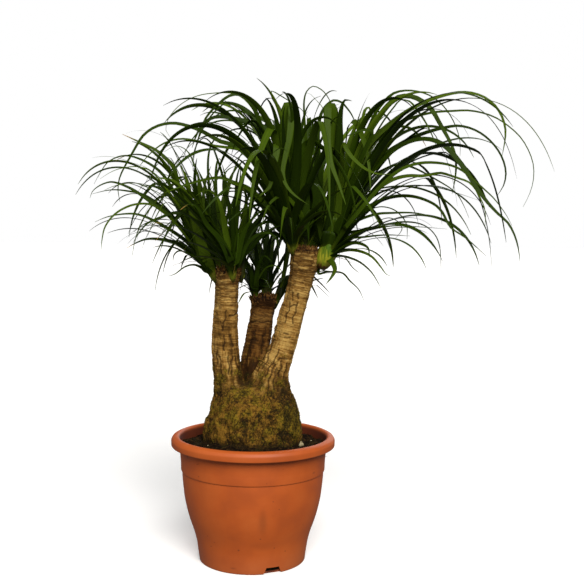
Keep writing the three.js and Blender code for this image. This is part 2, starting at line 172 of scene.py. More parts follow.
def scatter(tree, ground, density, bit, seed, sizes, leans, upright):
    # strews copies of a bit over the ground, with sizes and leans between limits; upright ones stand on faces
    spread = addNode(tree, "DistributePointsOnFaces", None,
                     {"Mesh": ground, "Density": density, "Seed": seed}).node.outputs
    size, lean = [
        addNode(tree, "RandomValue", ofVectors, {"Min": low, "Max": high, "Seed": number})
        for (low, high), number in ((sizes, seed), (leans, seed + 1))]
    placed = addNode(tree, "InstanceOnPoints", None, {
        "Points": spread["Points"], "Instance": bit, "Rotation": spread["Rotation"] if upright else lean,
        "Scale": size})
    if upright:
        placed = addNode(tree, "RotateInstances", None, {"Instances": placed, "Rotation": lean})
    return placed


def joined(name, parts):
    # one mesh from several objects, keeping their attributes and materials
    bpy.ops.object.select_all(action="DESELECT")
    for part in parts:
        part.select_set(True)
    bpy.context.view_layer.objects.active = parts[0]
    bpy.ops.object.join()
    parts[0].name = name
    parts[0].data.name = name
    return parts[0]


def smoothByAngle(mesh, degrees):
    mesh.polygons.foreach_set("use_smooth", [True] * len(mesh.polygons))
    mesh.set_sharp_from_angle(angle=math.radians(degrees))


def fixNormals(mesh):
    # turns all faces outwards
    shape = bmesh.new()
    shape.from_mesh(mesh)
    bmesh.ops.recalc_face_normals(shape, faces=shape.faces)
    shape.to_mesh(mesh)
    shape.free()


def curveThrough(rows, parts):
    # a smooth line through rows of numbers, with some parts in each stretch
    rows = [np.array(row, float) for row in rows]
    line = []
    for i in range(len(rows) - 1):
        before, a, b = rows[max(i - 1, 0)], rows[i], rows[i + 1]
        after = rows[min(i + 2, len(rows) - 1)]
        for part in range(parts):
            t = part / parts
            line.append(0.5 * (2 * a + (b - before) * t + (2 * before - 5 * a + 4 * b - after) * t**2
                               + (3 * a - before - 3 * b + after) * t**3))
    return line + [rows[-1]]


# Camera, light and floor

view = {
    "place": (0.050, -1.264, 0.440),   # metres from the pot's axis and the floor
    "pitch": 3.58,                     # degrees down
    "roll": 0.65,
    "focal": 948,                      # pixels, for an image 584 wide
    "imageWidth": 584,
    "sensor": 36,
}

camera = bpy.data.objects.new("camera", bpy.data.cameras.new("camera"))
scene.collection.objects.link(camera)
camera.data.sensor_width = view["sensor"]
camera.data.lens = view["focal"] / view["imageWidth"] * view["sensor"]
aim = Matrix.Rotation(math.radians(90 - view["pitch"]), 4, "X")
aim @= Matrix.Rotation(math.radians(view["roll"]), 4, "Z")
camera.matrix_world = Matrix.Translation(view["place"]) @ aim
scene.camera = camera

studio = {
    "surround": 0.2,          # strength of the even white light all round
    "backdrop": 1.0,          # how bright the white surround looks behind the object
    # name: direction towards the lamp, strength, spread in degrees, colour
    "lamps": {
        "keyLight": ((0.22, -1.0, 0.82), 3.85, 36, "#FFFCF8"),
        "fillLight": ((-0.9, -0.7, 0.6), 0.35, 50, "#FBFCFF"),
        "backLight": ((0.3, 1.0, 0.4), 0.7, 40, "#FBFCFF"),
    },
    "floorSize": 60,
    "floorColour": "#FCFCFB",
    "floorGlow": 0.16,        # keeps the board white and its shadows light
}

world = bpy.data.worlds.new("studio")
scene.world = world
world.use_nodes = True
sky = world.node_tree
sky.nodes.clear()
seen = addNode(sky, "LightPath", output="Is Camera Ray")
strength = addNode(sky, "MapRange", None,
                   {"Value": seen, "To Min": studio["surround"], "To Max": studio["backdrop"]})
glow = addNode(sky, "Background", None, {"Color": "#FFFFFF", "Strength": strength})
addNode(sky, "OutputWorld", None, {"Surface": glow})
for name, (direction, power, spread, colour) in studio["lamps"].items():
    lamp = bpy.data.lights.new(name, "SUN")
    lamp.energy = power
    lamp.angle = math.radians(spread)
    lamp.color = toLinear(colour)[:3]
    holder = newObject(name, lamp)
    holder.matrix_world = Vector(direction).to_track_quat("Z", "Y").to_matrix().to_4x4()
scene.view_settings.view_transform = "Standard"

half = studio["floorSize"] / 2
floor = newObject("floor", meshFrom(
    "floor", [(-half, -half, 0), (half, -half, 0), (half, half, 0), (-half, half, 0)], [(0, 1, 2, 3)]))
board, tree = newMaterial("matteBoard")   # painted board: one pale even tone
finishMaterial(tree, {"Base Color": studio["floorColour"], "Roughness": 0.9, "Emission Color": "#FFFFFF",
                      "Emission Strength": studio["floorGlow"]})
floor.data.materials.append(board)
floor.visible_diffuse = False              # no light bounces up from it, so the crown's inside stays deep
floor.visible_glossy = False
print("camera, light and floor made")


# Growth of the leaves: the same rule and numbers as the part's solids, in millimetres

growth = {
    "steps": 24, "attempts": 40, "goldenPart": 0.618034, "clearOfWall": 1, "freeSteps": 3,
    "start": {"height": 8, "heightOfYoung": 26, "reach": 0.3, "reachOfOld": 0.35},
    "width": {"from": 0.82, "to": 1.08, "least": 0.72, "more": 0.28, "phase": 0.15, "phases": 0.7},
    "taper": {"power": 0.65, "swell": 0.45},
    "rise": {"young": 84, "power": 1.25, "spread": 9},
    "length": {"from": 0.8, "to": 1.1, "least": 0.5, "more": 0.62, "phase": 0.08, "phases": 0.8,
               "power": 0.9},
    "oldAge": {"from": 0.6, "shrink": 1.3},
    "droop": {"from": 4.2, "to": 9, "young": 0.75, "old": 0.25, "forLength": 350, "atRoot": 0.06,
              "power": 1.2},
    "sway": 1.3,
    "twist": 3.2,
    "fold": {"share": 0.22, "from": 0.45, "to": 0.75, "reach": 0.045, "pull": 0.75, "steepest": -0.5},
    "aim": {"part": 0.92, "youth": 0.45, "extra": 50, "spread": 6},
    "turnAway": {"part": 0.3, "most": 8},
}
remedies = {
    "wall": {"rise": 5.5, "mostRise": 86, "length": 0.975, "droop": 0.94, "sway": 0.85},
    "stem": {"rise": 4, "mostRise": 84, "length": 0.96, "droop": 1, "sway": 1},
    "low": {"rise": 1.5, "mostRise": 84, "length": 0.955, "droop": 1, "sway": 1},
    "top": {"rise": -1, "mostRise": 93, "length": 0.98, "droop": 1.1, "sway": 1},
}

# Planes between the shoots: normal and point
overFront = ((0.74, -0.52, 0.42), (12.6, -6, 402))
overBack = ((0.74, 0.5, 0.45), (12.6, 4, 402))
underRight = ((-0.42, 0.36, -0.83), (47.6, 30, 377))
besideLeft = ((0.67, 0.72, -0.2), (-8.9, 20.5, 366.5))
crowns = {
    "left": {"centre": (-35.4, -2), "sides": [(overFront, -1), (overBack, -1), (besideLeft, -1)]},
    "middle": {"centre": (13.6, 47), "sides": [(besideLeft, 1), (underRight, 1)]},
    "rightFront": {"centre": (67.6, -1), "sides": [(overFront, 1), (underRight, -1)]},
    "rightBack": {"centre": (67.6, -1), "sides": [(overBack, 1), (underRight, -1)]},
}
shootKeys = ("crown", "sector", "aims", "foot", "lean", "core", "leaves", "length", "width", "fall", "arch",
             "low", "top", "seed")
shootRows = {
    "shoot_left_outer": ("left", (150, 225), (150, 225), (-53.4, -5, 381), (-0.42, -0.14, 0.88),
                         9, 25, 205, 11.5, 48, 1.3, 386, 585, 11),
    "shoot_left_front": ("left", (225, 345), (222, 320), (-28.4, -17, 384), (0.02, -0.34, 0.94),
                         9, 21, 225, 11, 52, 1.2, 394, 578, 12),
    "shoot_left_inner": ("left", (-15, 62), (0, 60), (-17.4, 3, 384), (0.1, 0.1, 0.97),
                         7, 7, 75, 8, 60, 1, 372, 520, 13),
    "shoot_left_back": ("left", (62, 150), (90, 155), (-41.4, 14, 384), (-0.3, 0.45, 0.84),
                        9, 19, 245, 11, 52, 1.2, 376, 595, 14),
    "shoot_middle_outer": ("middle", (151, 284), (160, 280), (-0.4, 38, 352), (-0.1, -0.04, 0.95),
                           8, 11, 140, 9, 60, 1, 345, 475, 15),
    "shoot_middle_back": ("middle", (43, 151), (50, 145), (13.6, 60, 350), (0.02, 0.62, 0.78),
                          8, 18, 240, 11, 70, 1, 345, 530, 16),
    "shoot_middle_inner": ("middle", (-76, 43), (-40, 40), (28.6, 46, 346), (0.25, 0.15, 0.9),
                           8, 11, 160, 10, 60, 1, 345, 480, 17),
    "shoot_right_front": ("rightFront", (155, 312), (165, 318), (50.6, -12, 421), (-0.2, -0.28, 0.93),
                          12, 31, 265, 17, 60, 1.15, 428, 612, 18),
    "shoot_right_back": ("rightBack", (42, 155), (45, 165), (66.6, 14, 413), (0, 0.45, 0.86),
                         10, 23, 300, 16, 62, 1, 415, 615, 19),
    "shoot_right_outer": ("rightFront", (312, 402), (305, 402), (91.6, -6, 404), (0.4, -0.12, 0.88),
                          12, 28, 345, 17.5, 62, 1, 392, 620, 20),
}
shoots = {name: dict(zip(shootKeys, row)) for name, row in shootRows.items()}
stemLines = [
    [(-34.4, 0, 235), (-38.4, -2, 300), (-36.4, -3, 350)],
    [(18.6, -6, 240), (38.6, -6, 287), (56.6, -5, 350), (60.6, -4, 372)],
    [(-1.4, 30, 235), (4.6, 38, 291), (9.6, 43, 318)],
]
stemClearance = 21


def unit(values):
    values = np.asarray(values, dtype=float)
    return values / math.sqrt(values @ values)


def cross(a, b):
    return np.array([a[1] * b[2] - a[2] * b[1], a[2] * b[0] - a[0] * b[2], a[0] * b[1] - a[1] * b[0]])


def makeDraw(seed):
    # the same numbers come from the same seed each time
    state = [seed]

    def draw(low, high):
        state[0] = (state[0] * 1664525 + 1013904223) % 2**32
        return low + (high - low) * state[0] / 2**32
    return draw


def wallsOf(shoot):
    crown = crowns[shoot["crown"]]
    walls = [(unit(normal) * side, np.array(point, float)) for (normal, point), side in crown["sides"]]
    first, last = [math.radians(value) for value in shoot["sector"]]
    middle = np.array([*crown["centre"], 0.0])
    walls.append((np.array([-math.sin(first), math.cos(first), 0]), middle))
    walls.append((np.array([math.sin(last), -math.cos(last), 0]), middle))
    return walls


def nearStem(point, halfWidth):
    for line in stemLines:
        for a, b in zip(line[:-1], line[1:]):
            a, b = np.array(a, float), np.array(b, float)
            part = min(1, max(0, (point - a) @ (b - a) / ((b - a) @ (b - a))))
            gap = point - a - part * (b - a)
            if gap @ gap < (stemClearance + halfWidth) ** 2:
                return True
    return False


def halfWidthAt(width, t):
    taper = growth["taper"]
    return width / 2 * (1 - t) ** taper["power"] * (1 + taper["swell"] * t)


def pullAt(leaf, t, along):
    droop, fold = growth["droop"], growth["fold"]
    weight = leaf["droop"] * leaf["length"] / droop["forLength"]
    bend = weight * (droop["atRoot"] + t ** droop["power"]) / growth["steps"]
    folds = leaf["fold"] < fold["share"] and abs(t - leaf["foldAt"]) < fold["reach"]
    return bend + fold["pull"] if folds and along[2] > fold["steepest"] else bend


def bendLeaf(shoot, walls, leaf):
    # grows one leaf and says what it met: nothing, a wall, a stem, or the low or top height
    turn, rise = math.radians(leaf["turn"]), math.radians(leaf["rise"])
    around = np.array([math.cos(turn), math.sin(turn), 0])
    up = np.array([0, 0, 1.0])
    along = around * math.cos(rise) + up * math.sin(rise)
    face = up * math.cos(rise) - around * math.sin(rise)
    side = cross(along, face)
    start, steps = growth["start"], growth["steps"]
    point = np.array(shoot["foot"], float)
    point += unit(shoot["lean"]) * (start["height"] + start["heightOfYoung"] * (1 - leaf["age"]))
    point += around * shoot["core"] * (start["reach"] + start["reachOfOld"] * leaf["age"])
    rings = []
    for step in range(steps + 1):
        t = step / steps
        halfWidth = halfWidthAt(leaf["width"], t)
        if step:
            point = point + along * leaf["length"] / steps
        for normal, onWall in walls:
            if normal @ (point - onWall) < halfWidth + growth["clearOfWall"]:
                return "wall", normal
        if step > growth["freeSteps"] and nearStem(point, halfWidth):
            return "stem", None
        if point[2] < shoot["low"]:
            return "low", None
        if point[2] > shoot["top"]:
            return "top", None
        rings.append((point, side, face, halfWidth, t))
        pull = pullAt(leaf, t, along)
        along = unit(along - up * pull + side * leaf["sway"] * t / steps)
        face = unit(face - along * (face @ along))
        side = cross(along, face)
        twist = leaf["twist"] * t / steps
        face = unit(face * math.cos(twist) + side * math.sin(twist))
        side = cross(along, face)
    return "nothing", rings


def overAge(shape, age):
    wave = math.sin(math.pi * (shape["phase"] + shape["phases"] * age))
    return shape["least"] + shape["more"] * wave ** shape.get("power", 1)


def drawLeaf(shoot, age, draw):
    width, rise, length = growth["width"], growth["rise"], growth["length"]
    oldAge, droop, fold = growth["oldAge"], growth["droop"], growth["fold"]
    shrunk = 1 - oldAge["shrink"] * max(0, age - oldAge["from"])
    return {
        "age": age,
        "width": shoot["width"] * draw(width["from"], width["to"]) * overAge(width, age),
        "rise": rise["young"] - shoot["fall"] * age ** rise["power"] + draw(-rise["spread"], rise["spread"]),
        "length": shoot["length"] * draw(length["from"], length["to"]) * overAge(length, age) * shrunk,
        "droop": shoot["arch"] * draw(droop["from"], droop["to"]) * (droop["young"] + droop["old"] * age),
        "sway": draw(-growth["sway"], growth["sway"]),
        "twist": draw(-growth["twist"], growth["twist"]),
        "fold": draw(0, 1),
        "foldAt": draw(fold["from"], fold["to"]),
    }


def settleLeaf(shoot, walls, leaf):
    # changes a leaf's traits until it keeps to its space
    for _ in range(growth["attempts"]):
        met, found = bendLeaf(shoot, walls, leaf)
        if met == "nothing":
            return found
        remedy = remedies[met]
        share = 1 if found is None else found[2]
        leaf["rise"] = min(remedy["mostRise"], leaf["rise"] + remedy["rise"] * share)
        leaf["length"] *= remedy["length"]
        leaf["droop"] *= remedy["droop"]
        leaf["sway"] *= remedy["sway"]
        if found is not None:
            away = math.degrees(math.atan2(found[1], found[0])) - leaf["turn"]
            short = (away + 180) % 360 - 180
            most = growth["turnAway"]["most"]
            leaf["turn"] += min(most, max(-most, short * growth["turnAway"]["part"]))
    return None


def growLeaf(shoot, number, walls, draw):
    age = 1 - number / (shoot["leaves"] - 1)
    leaf = drawLeaf(shoot, age, draw)
    first, last = shoot["aims"]
    spread = (last - first) / 2
    aimed = growth["aim"]
    old = age > aimed["youth"]
    reach = spread * aimed["part"]
    if not old:
        reach = spread + aimed["extra"] * (aimed["youth"] - age) / aimed["youth"]
    place = number * growth["goldenPart"] % 1 * 2 - 1
    leaf["turn"] = first + spread + place * reach + draw(-aimed["spread"], aimed["spread"])
    return settleLeaf(shoot, walls, leaf), leaf


# Leaf material

leafLook = {
    "deep": "#152302",        # shaded blade
    "mid": "#2E4204",
    "fresh": "#5F7618",       # youngest and best lit blades
    "base": "#788420",        # sheath at the foot of a leaf
    "tip": "#9C7C40",         # dry thread at the end
    "streaks": (9.0, 3.0, 91.0),     # how many across, along and from leaf to leaf
    "veins": 26.0,            # across half a blade 8 mm wide: one fine vein every 0.7 mm, drawn coarser
    "roughness": 0.45,
    "gloss": 0.07,
}


def makeLeafMaterial():
    # leaf blade: waxy skin over straight parallel fibres, so a soft streaky gloss on deep green
    material, tree = newMaterial("waxyStrapLeaf")
    across, along, tone, dry = [addNode(tree, "Attribute", {"attribute_name": name}, output="Fac")
                                for name in ("across", "along", "tone", "dry")]
    lanes = [addNode(tree, "Math", multiply, pair)
             for pair in zip((across, along, tone), leafLook["streaks"])]
    place = addNode(tree, "CombineXYZ", None, lanes)
    streak = addNode(tree, "TexNoise", None, (place, 1.0, 3.0), "Fac")
    uneven = addNode(tree, "Math", multiplyAdd, (streak, 0.55, tone))
    level = addNode(tree, "Math", multiplyAdd, (uneven, 0.8, -0.12))
    # painted light and shade: the blade's tone picks its green between the shaded colour and the lit one
    colour = addNode(tree, "ValToRGB", {"stops": [
        (0.05, leafLook["deep"]), (0.5, leafLook["mid"]), (1.0, leafLook["fresh"])]}, (level,))
    baseShare = addNode(tree, "MapRange", eased, (along, 0.075, 0.0, 0.0, 0.85))
    colour = addNode(tree, "Mix", ofColours, (baseShare, colour, leafLook["base"]))
    tipShare = addNode(tree, "MapRange", eased, (along, 0.9, 0.99, 0.0, 1.0))
    dryTip = addNode(tree, "Math", multiply, (tipShare, dry))
    colour = addNode(tree, "Mix", ofColours, (dryTip, colour, leafLook["tip"]))
    wave = addNode(tree, "Math", multiply, (across, leafLook["veins"]))
    veins = addNode(tree, "Math", {"operation": "SINE"}, (wave,))
    bump = addNode(tree, "Bump", None, {"Height": veins, "Strength": 0.25, "Distance": 0.0002})
    finishMaterial(tree, {"Base Color": colour, "Normal": bump, "Roughness": leafLook["roughness"],
                          "Specular IOR Level": leafLook["gloss"], "IOR": 1.45})
    return material


bulbLook = {
    "husk": "#4A2E12",
    "pale": "#A6A52A",
    "green": "#4E6C10",
    "shaded": "#1E2408",       # painted shade for the smaller feet, deep among the leaves
    "veins": (420, 420, 36),  # about 2 mm apart, and ten times as long
}


def makeBulbMaterial():
    # swollen leaf base: pale fleshy skin that goes from brown husk to green, with fine upright veins
    material, tree = newMaterial("fleshyLeafBase")
    height, tone = [addNode(tree, "Attribute", {"attribute_name": name}, output="Fac")
                    for name in ("along", "tone")]
    place = addNode(tree, "TexCoord", output="Object")
    stretched = addNode(tree, "Mapping", None, {"Vector": place, "Scale": bulbLook["veins"]})
    grain = addNode(tree, "TexNoise", None, (stretched, 1.0, 2.0), "Fac")
    shifted = addNode(tree, "Math", multiplyAdd, (grain, 0.3, height))
    colour = addNode(tree, "ValToRGB", {"stops": [
        (0.24, bulbLook["husk"]), (0.37, bulbLook["pale"]), (0.48, bulbLook["pale"]),
        (0.64, bulbLook["green"])]}, (shifted,))
    streak = addNode(tree, "MapRange", None, (grain, 0.48, 0.62, 0.0, 0.65))
    colour = addNode(tree, "Mix", ofColours, (streak, colour, bulbLook["green"]))
    # painted shade: a foot with a low tone is darkened towards the shaded colour
    colour = addNode(tree, "Mix", ofColours, (tone, bulbLook["shaded"], colour))
    bump = addNode(tree, "Bump", None, {"Height": grain, "Strength": 0.3, "Distance": 0.0004})
    finishMaterial(tree, {"Base Color": colour, "Normal": bump, "Roughness": 0.5, "Specular IOR Level": 0.15})
    return material


leafSkin = makeLeafMaterial()
bulbSkin = makeBulbMaterial()

# Leaves: each is a path with its width, swept with a thin channelled section

leafForm = {
    "thickness": 0.055,       # half thickness as a part of the half width
    "channel": 0.16,          # rise of the edges as a part of the half width
    "clasp": 0.85,            # how far a sheath wraps round its shoot
    "claspLength": 0.06,      # as a part of the leaf
    "sheathWidth": 0.4,       # extra width of the sheath as a part of the half width
    "rootWidth": 0.55,        # width at the very root as a part of the blade's
    "rootSpread": 0.34,       # how far from the middle of their shoot leaves stand, as a part of its radius
    "rootYoung": 0.7,         # what the youngest leaves have of that spread, where the oldest have 1 more
    "rootHeight": (-5, 7),    # of the oldest and of the youngest leaf, above the shoot's foot
    "rootLean": 0.18,         # how far a sheath leans out from its shoot
    "slimTip": 0.42,          # how much narrower than a blade's rule its tip is, and an old leaf
    "slimOld": 0.25,
    "slimFrom": 0.5,          # age from which it slims
    "thread": 0.2,            # least half width in millimetres
    "placedWidth": 1.22,      # how much wider placed leaves are than their rows say
    "section": 12,
    "thinSection": 8,
    "smoothing": 2,
    # free leaves that cross from one shoot's space to another: how many for each leaf, and their traits
    "freeShare": {"shoot_left_outer": 0.0, "shoot_right_outer": 0.1, "shoot_left_back": 0.2, "others": 0.4},
    "freeSeed": 100,
    "freeWidth": (0.35, 0.8),
    "freeLength": (0.7, 1.1),
    "freeDroop": (4.5, 9.5),
    "freeStray": 35,          # degrees that they may turn past their shoot's own range
    "freeDrop": 8,            # how much lower they may hang, and the height that they stay under
    "freeTop": 630,
    "dryShare": 0.05,
    "placedLift": 6,          # how far up its shoot a placed leaf begins
    "placedParts": 12,        # parts in each stretch between its places
    "placedFirst": 1.5,       # its hidden first stretch, as a part of the next one
    "placedTilt": (20, 50),   # degrees that its face looks up, and that it sways from side to side
    "placedSwing": (-35, 35),
    "tones": (0.0, 0.6),      # how far a blade's green goes from the shaded colour to the lit one, painted light and its own tone at random, and how much further a young one's
    "youngTone": 0.25,
    "sheathSteps": 4,         # growth steps that the sheath takes the place of
    "least": (-250, -248, 300), "most": (376, 292, 630),     # the space that placed leaves keep to
}
# Walls round all free leaves: normal and point
freeWalls = [(np.array(normal, float), np.array(point, float)) for normal, point in (
    ((1, 0, 0), (-252, 0, 0)), ((-1, 0, 0), (378, 0, 0)), ((0, 1, 0), (0, -252, 0)),
    ((0, -1, 0), (0, 296, 0)))]


def makeLeafTree():
    tree, given = newTree("leafSweep", {
        "Section": leafForm["section"], "Thickness": leafForm["thickness"], "Channel": leafForm["channel"],
        "Clasp": leafForm["clasp"], "Smoothing": leafForm["smoothing"], "Material": None})
    halfWidth, across, clasping, sideways, facing = [
        addNode(tree, "InputNamedAttribute", {"data_type": kind}, {"Name": name})
        for name, kind in (("halfWidth", "FLOAT"), ("across", "FLOAT"), ("clasping", "FLOAT"),
                           ("sideways", "FLOAT_VECTOR"), ("facing", "FLOAT_VECTOR"))]
    path = addNode(tree, "MeshToCurve", None, {"Mesh": given["Geometry"]})
    path = addNode(tree, "CurveSplineType", {"spline_type": "CATMULL_ROM"}, {"Curve": path})
    path = addNode(tree, "SetSplineResolution", None,
                   {"Geometry": path, "Resolution": given["Smoothing"]})
    path = addNode(tree, "SetCurveNormal", {"mode": "FREE"}, {"Curve": path, "Normal": sideways})
    # the section is a circle pressed flat, and each of its points knows how far across the blade it is
    ring = addNode(tree, "CurvePrimitiveCircle", {"mode": "RADIUS"},
                   {"Resolution": given["Section"], "Radius": 1.0}, "Curve")
    parts = addNode(tree, "SeparateXYZ", None, (addNode(tree, "InputPosition"),)).node.outputs
    flat = addNode(tree, "Math", multiply, (parts["Y"], given["Thickness"]))
    lens = addNode(tree, "CombineXYZ", None, (parts["X"], flat))
    ring = addNode(tree, "StoreNamedAttribute", None,
                   {"Geometry": ring, "Name": "across", "Value": parts["X"]})
    ring = addNode(tree, "SetPosition", None, {"Geometry": ring, "Position": lens})
    blade = addNode(tree, "CurveToMesh", None,
                    {"Curve": path, "Profile Curve": ring, "Scale": halfWidth, "Fill Caps": True})
    # edges rise towards the upper side, more so where the sheath clasps the shoot
    size = addNode(tree, "Math", {"operation": "ABSOLUTE"}, (across,))
    bowed = addNode(tree, "Math", {"operation": "POWER"}, (size, 1.5))
    wrap = addNode(tree, "Math", multiplyAdd, (clasping, given["Clasp"], given["Channel"]))
    lift = addNode(tree, "Math", multiply, (bowed, wrap))
    height = addNode(tree, "Math", multiply, (lift, halfWidth))
    offset = addNode(tree, "VectorMath", scaled, {"Vector": facing, "Scale": height})
    blade = addNode(tree, "SetPosition", None, {"Geometry": blade, "Offset": offset})
    blade = addNode(tree, "SetShadeSmooth", None, {"Geometry": blade})
    finishTree(tree, blade, given["Material"])
    return tree


leafTree = makeLeafTree()


def freeLeaf(shoot, draw):
    # a thin leaf that may cross into the other shoots' space
    age = draw(0.05, 0.95)
    leaf = drawLeaf(shoot, age, draw)
    first, last = shoot["aims"]
    leaf["width"] = shoot["width"] * draw(*leafForm["freeWidth"])
    leaf["length"] *= draw(*leafForm["freeLength"])
    leaf["droop"] = draw(*leafForm["freeDroop"])
    leaf["turn"] = draw(first - leafForm["freeStray"], last + leafForm["freeStray"])
    space = dict(shoot, low=shoot["low"] - leafForm["freeDrop"], top=leafForm["freeTop"])
    return settleLeaf(space, freeWalls, leaf), leaf
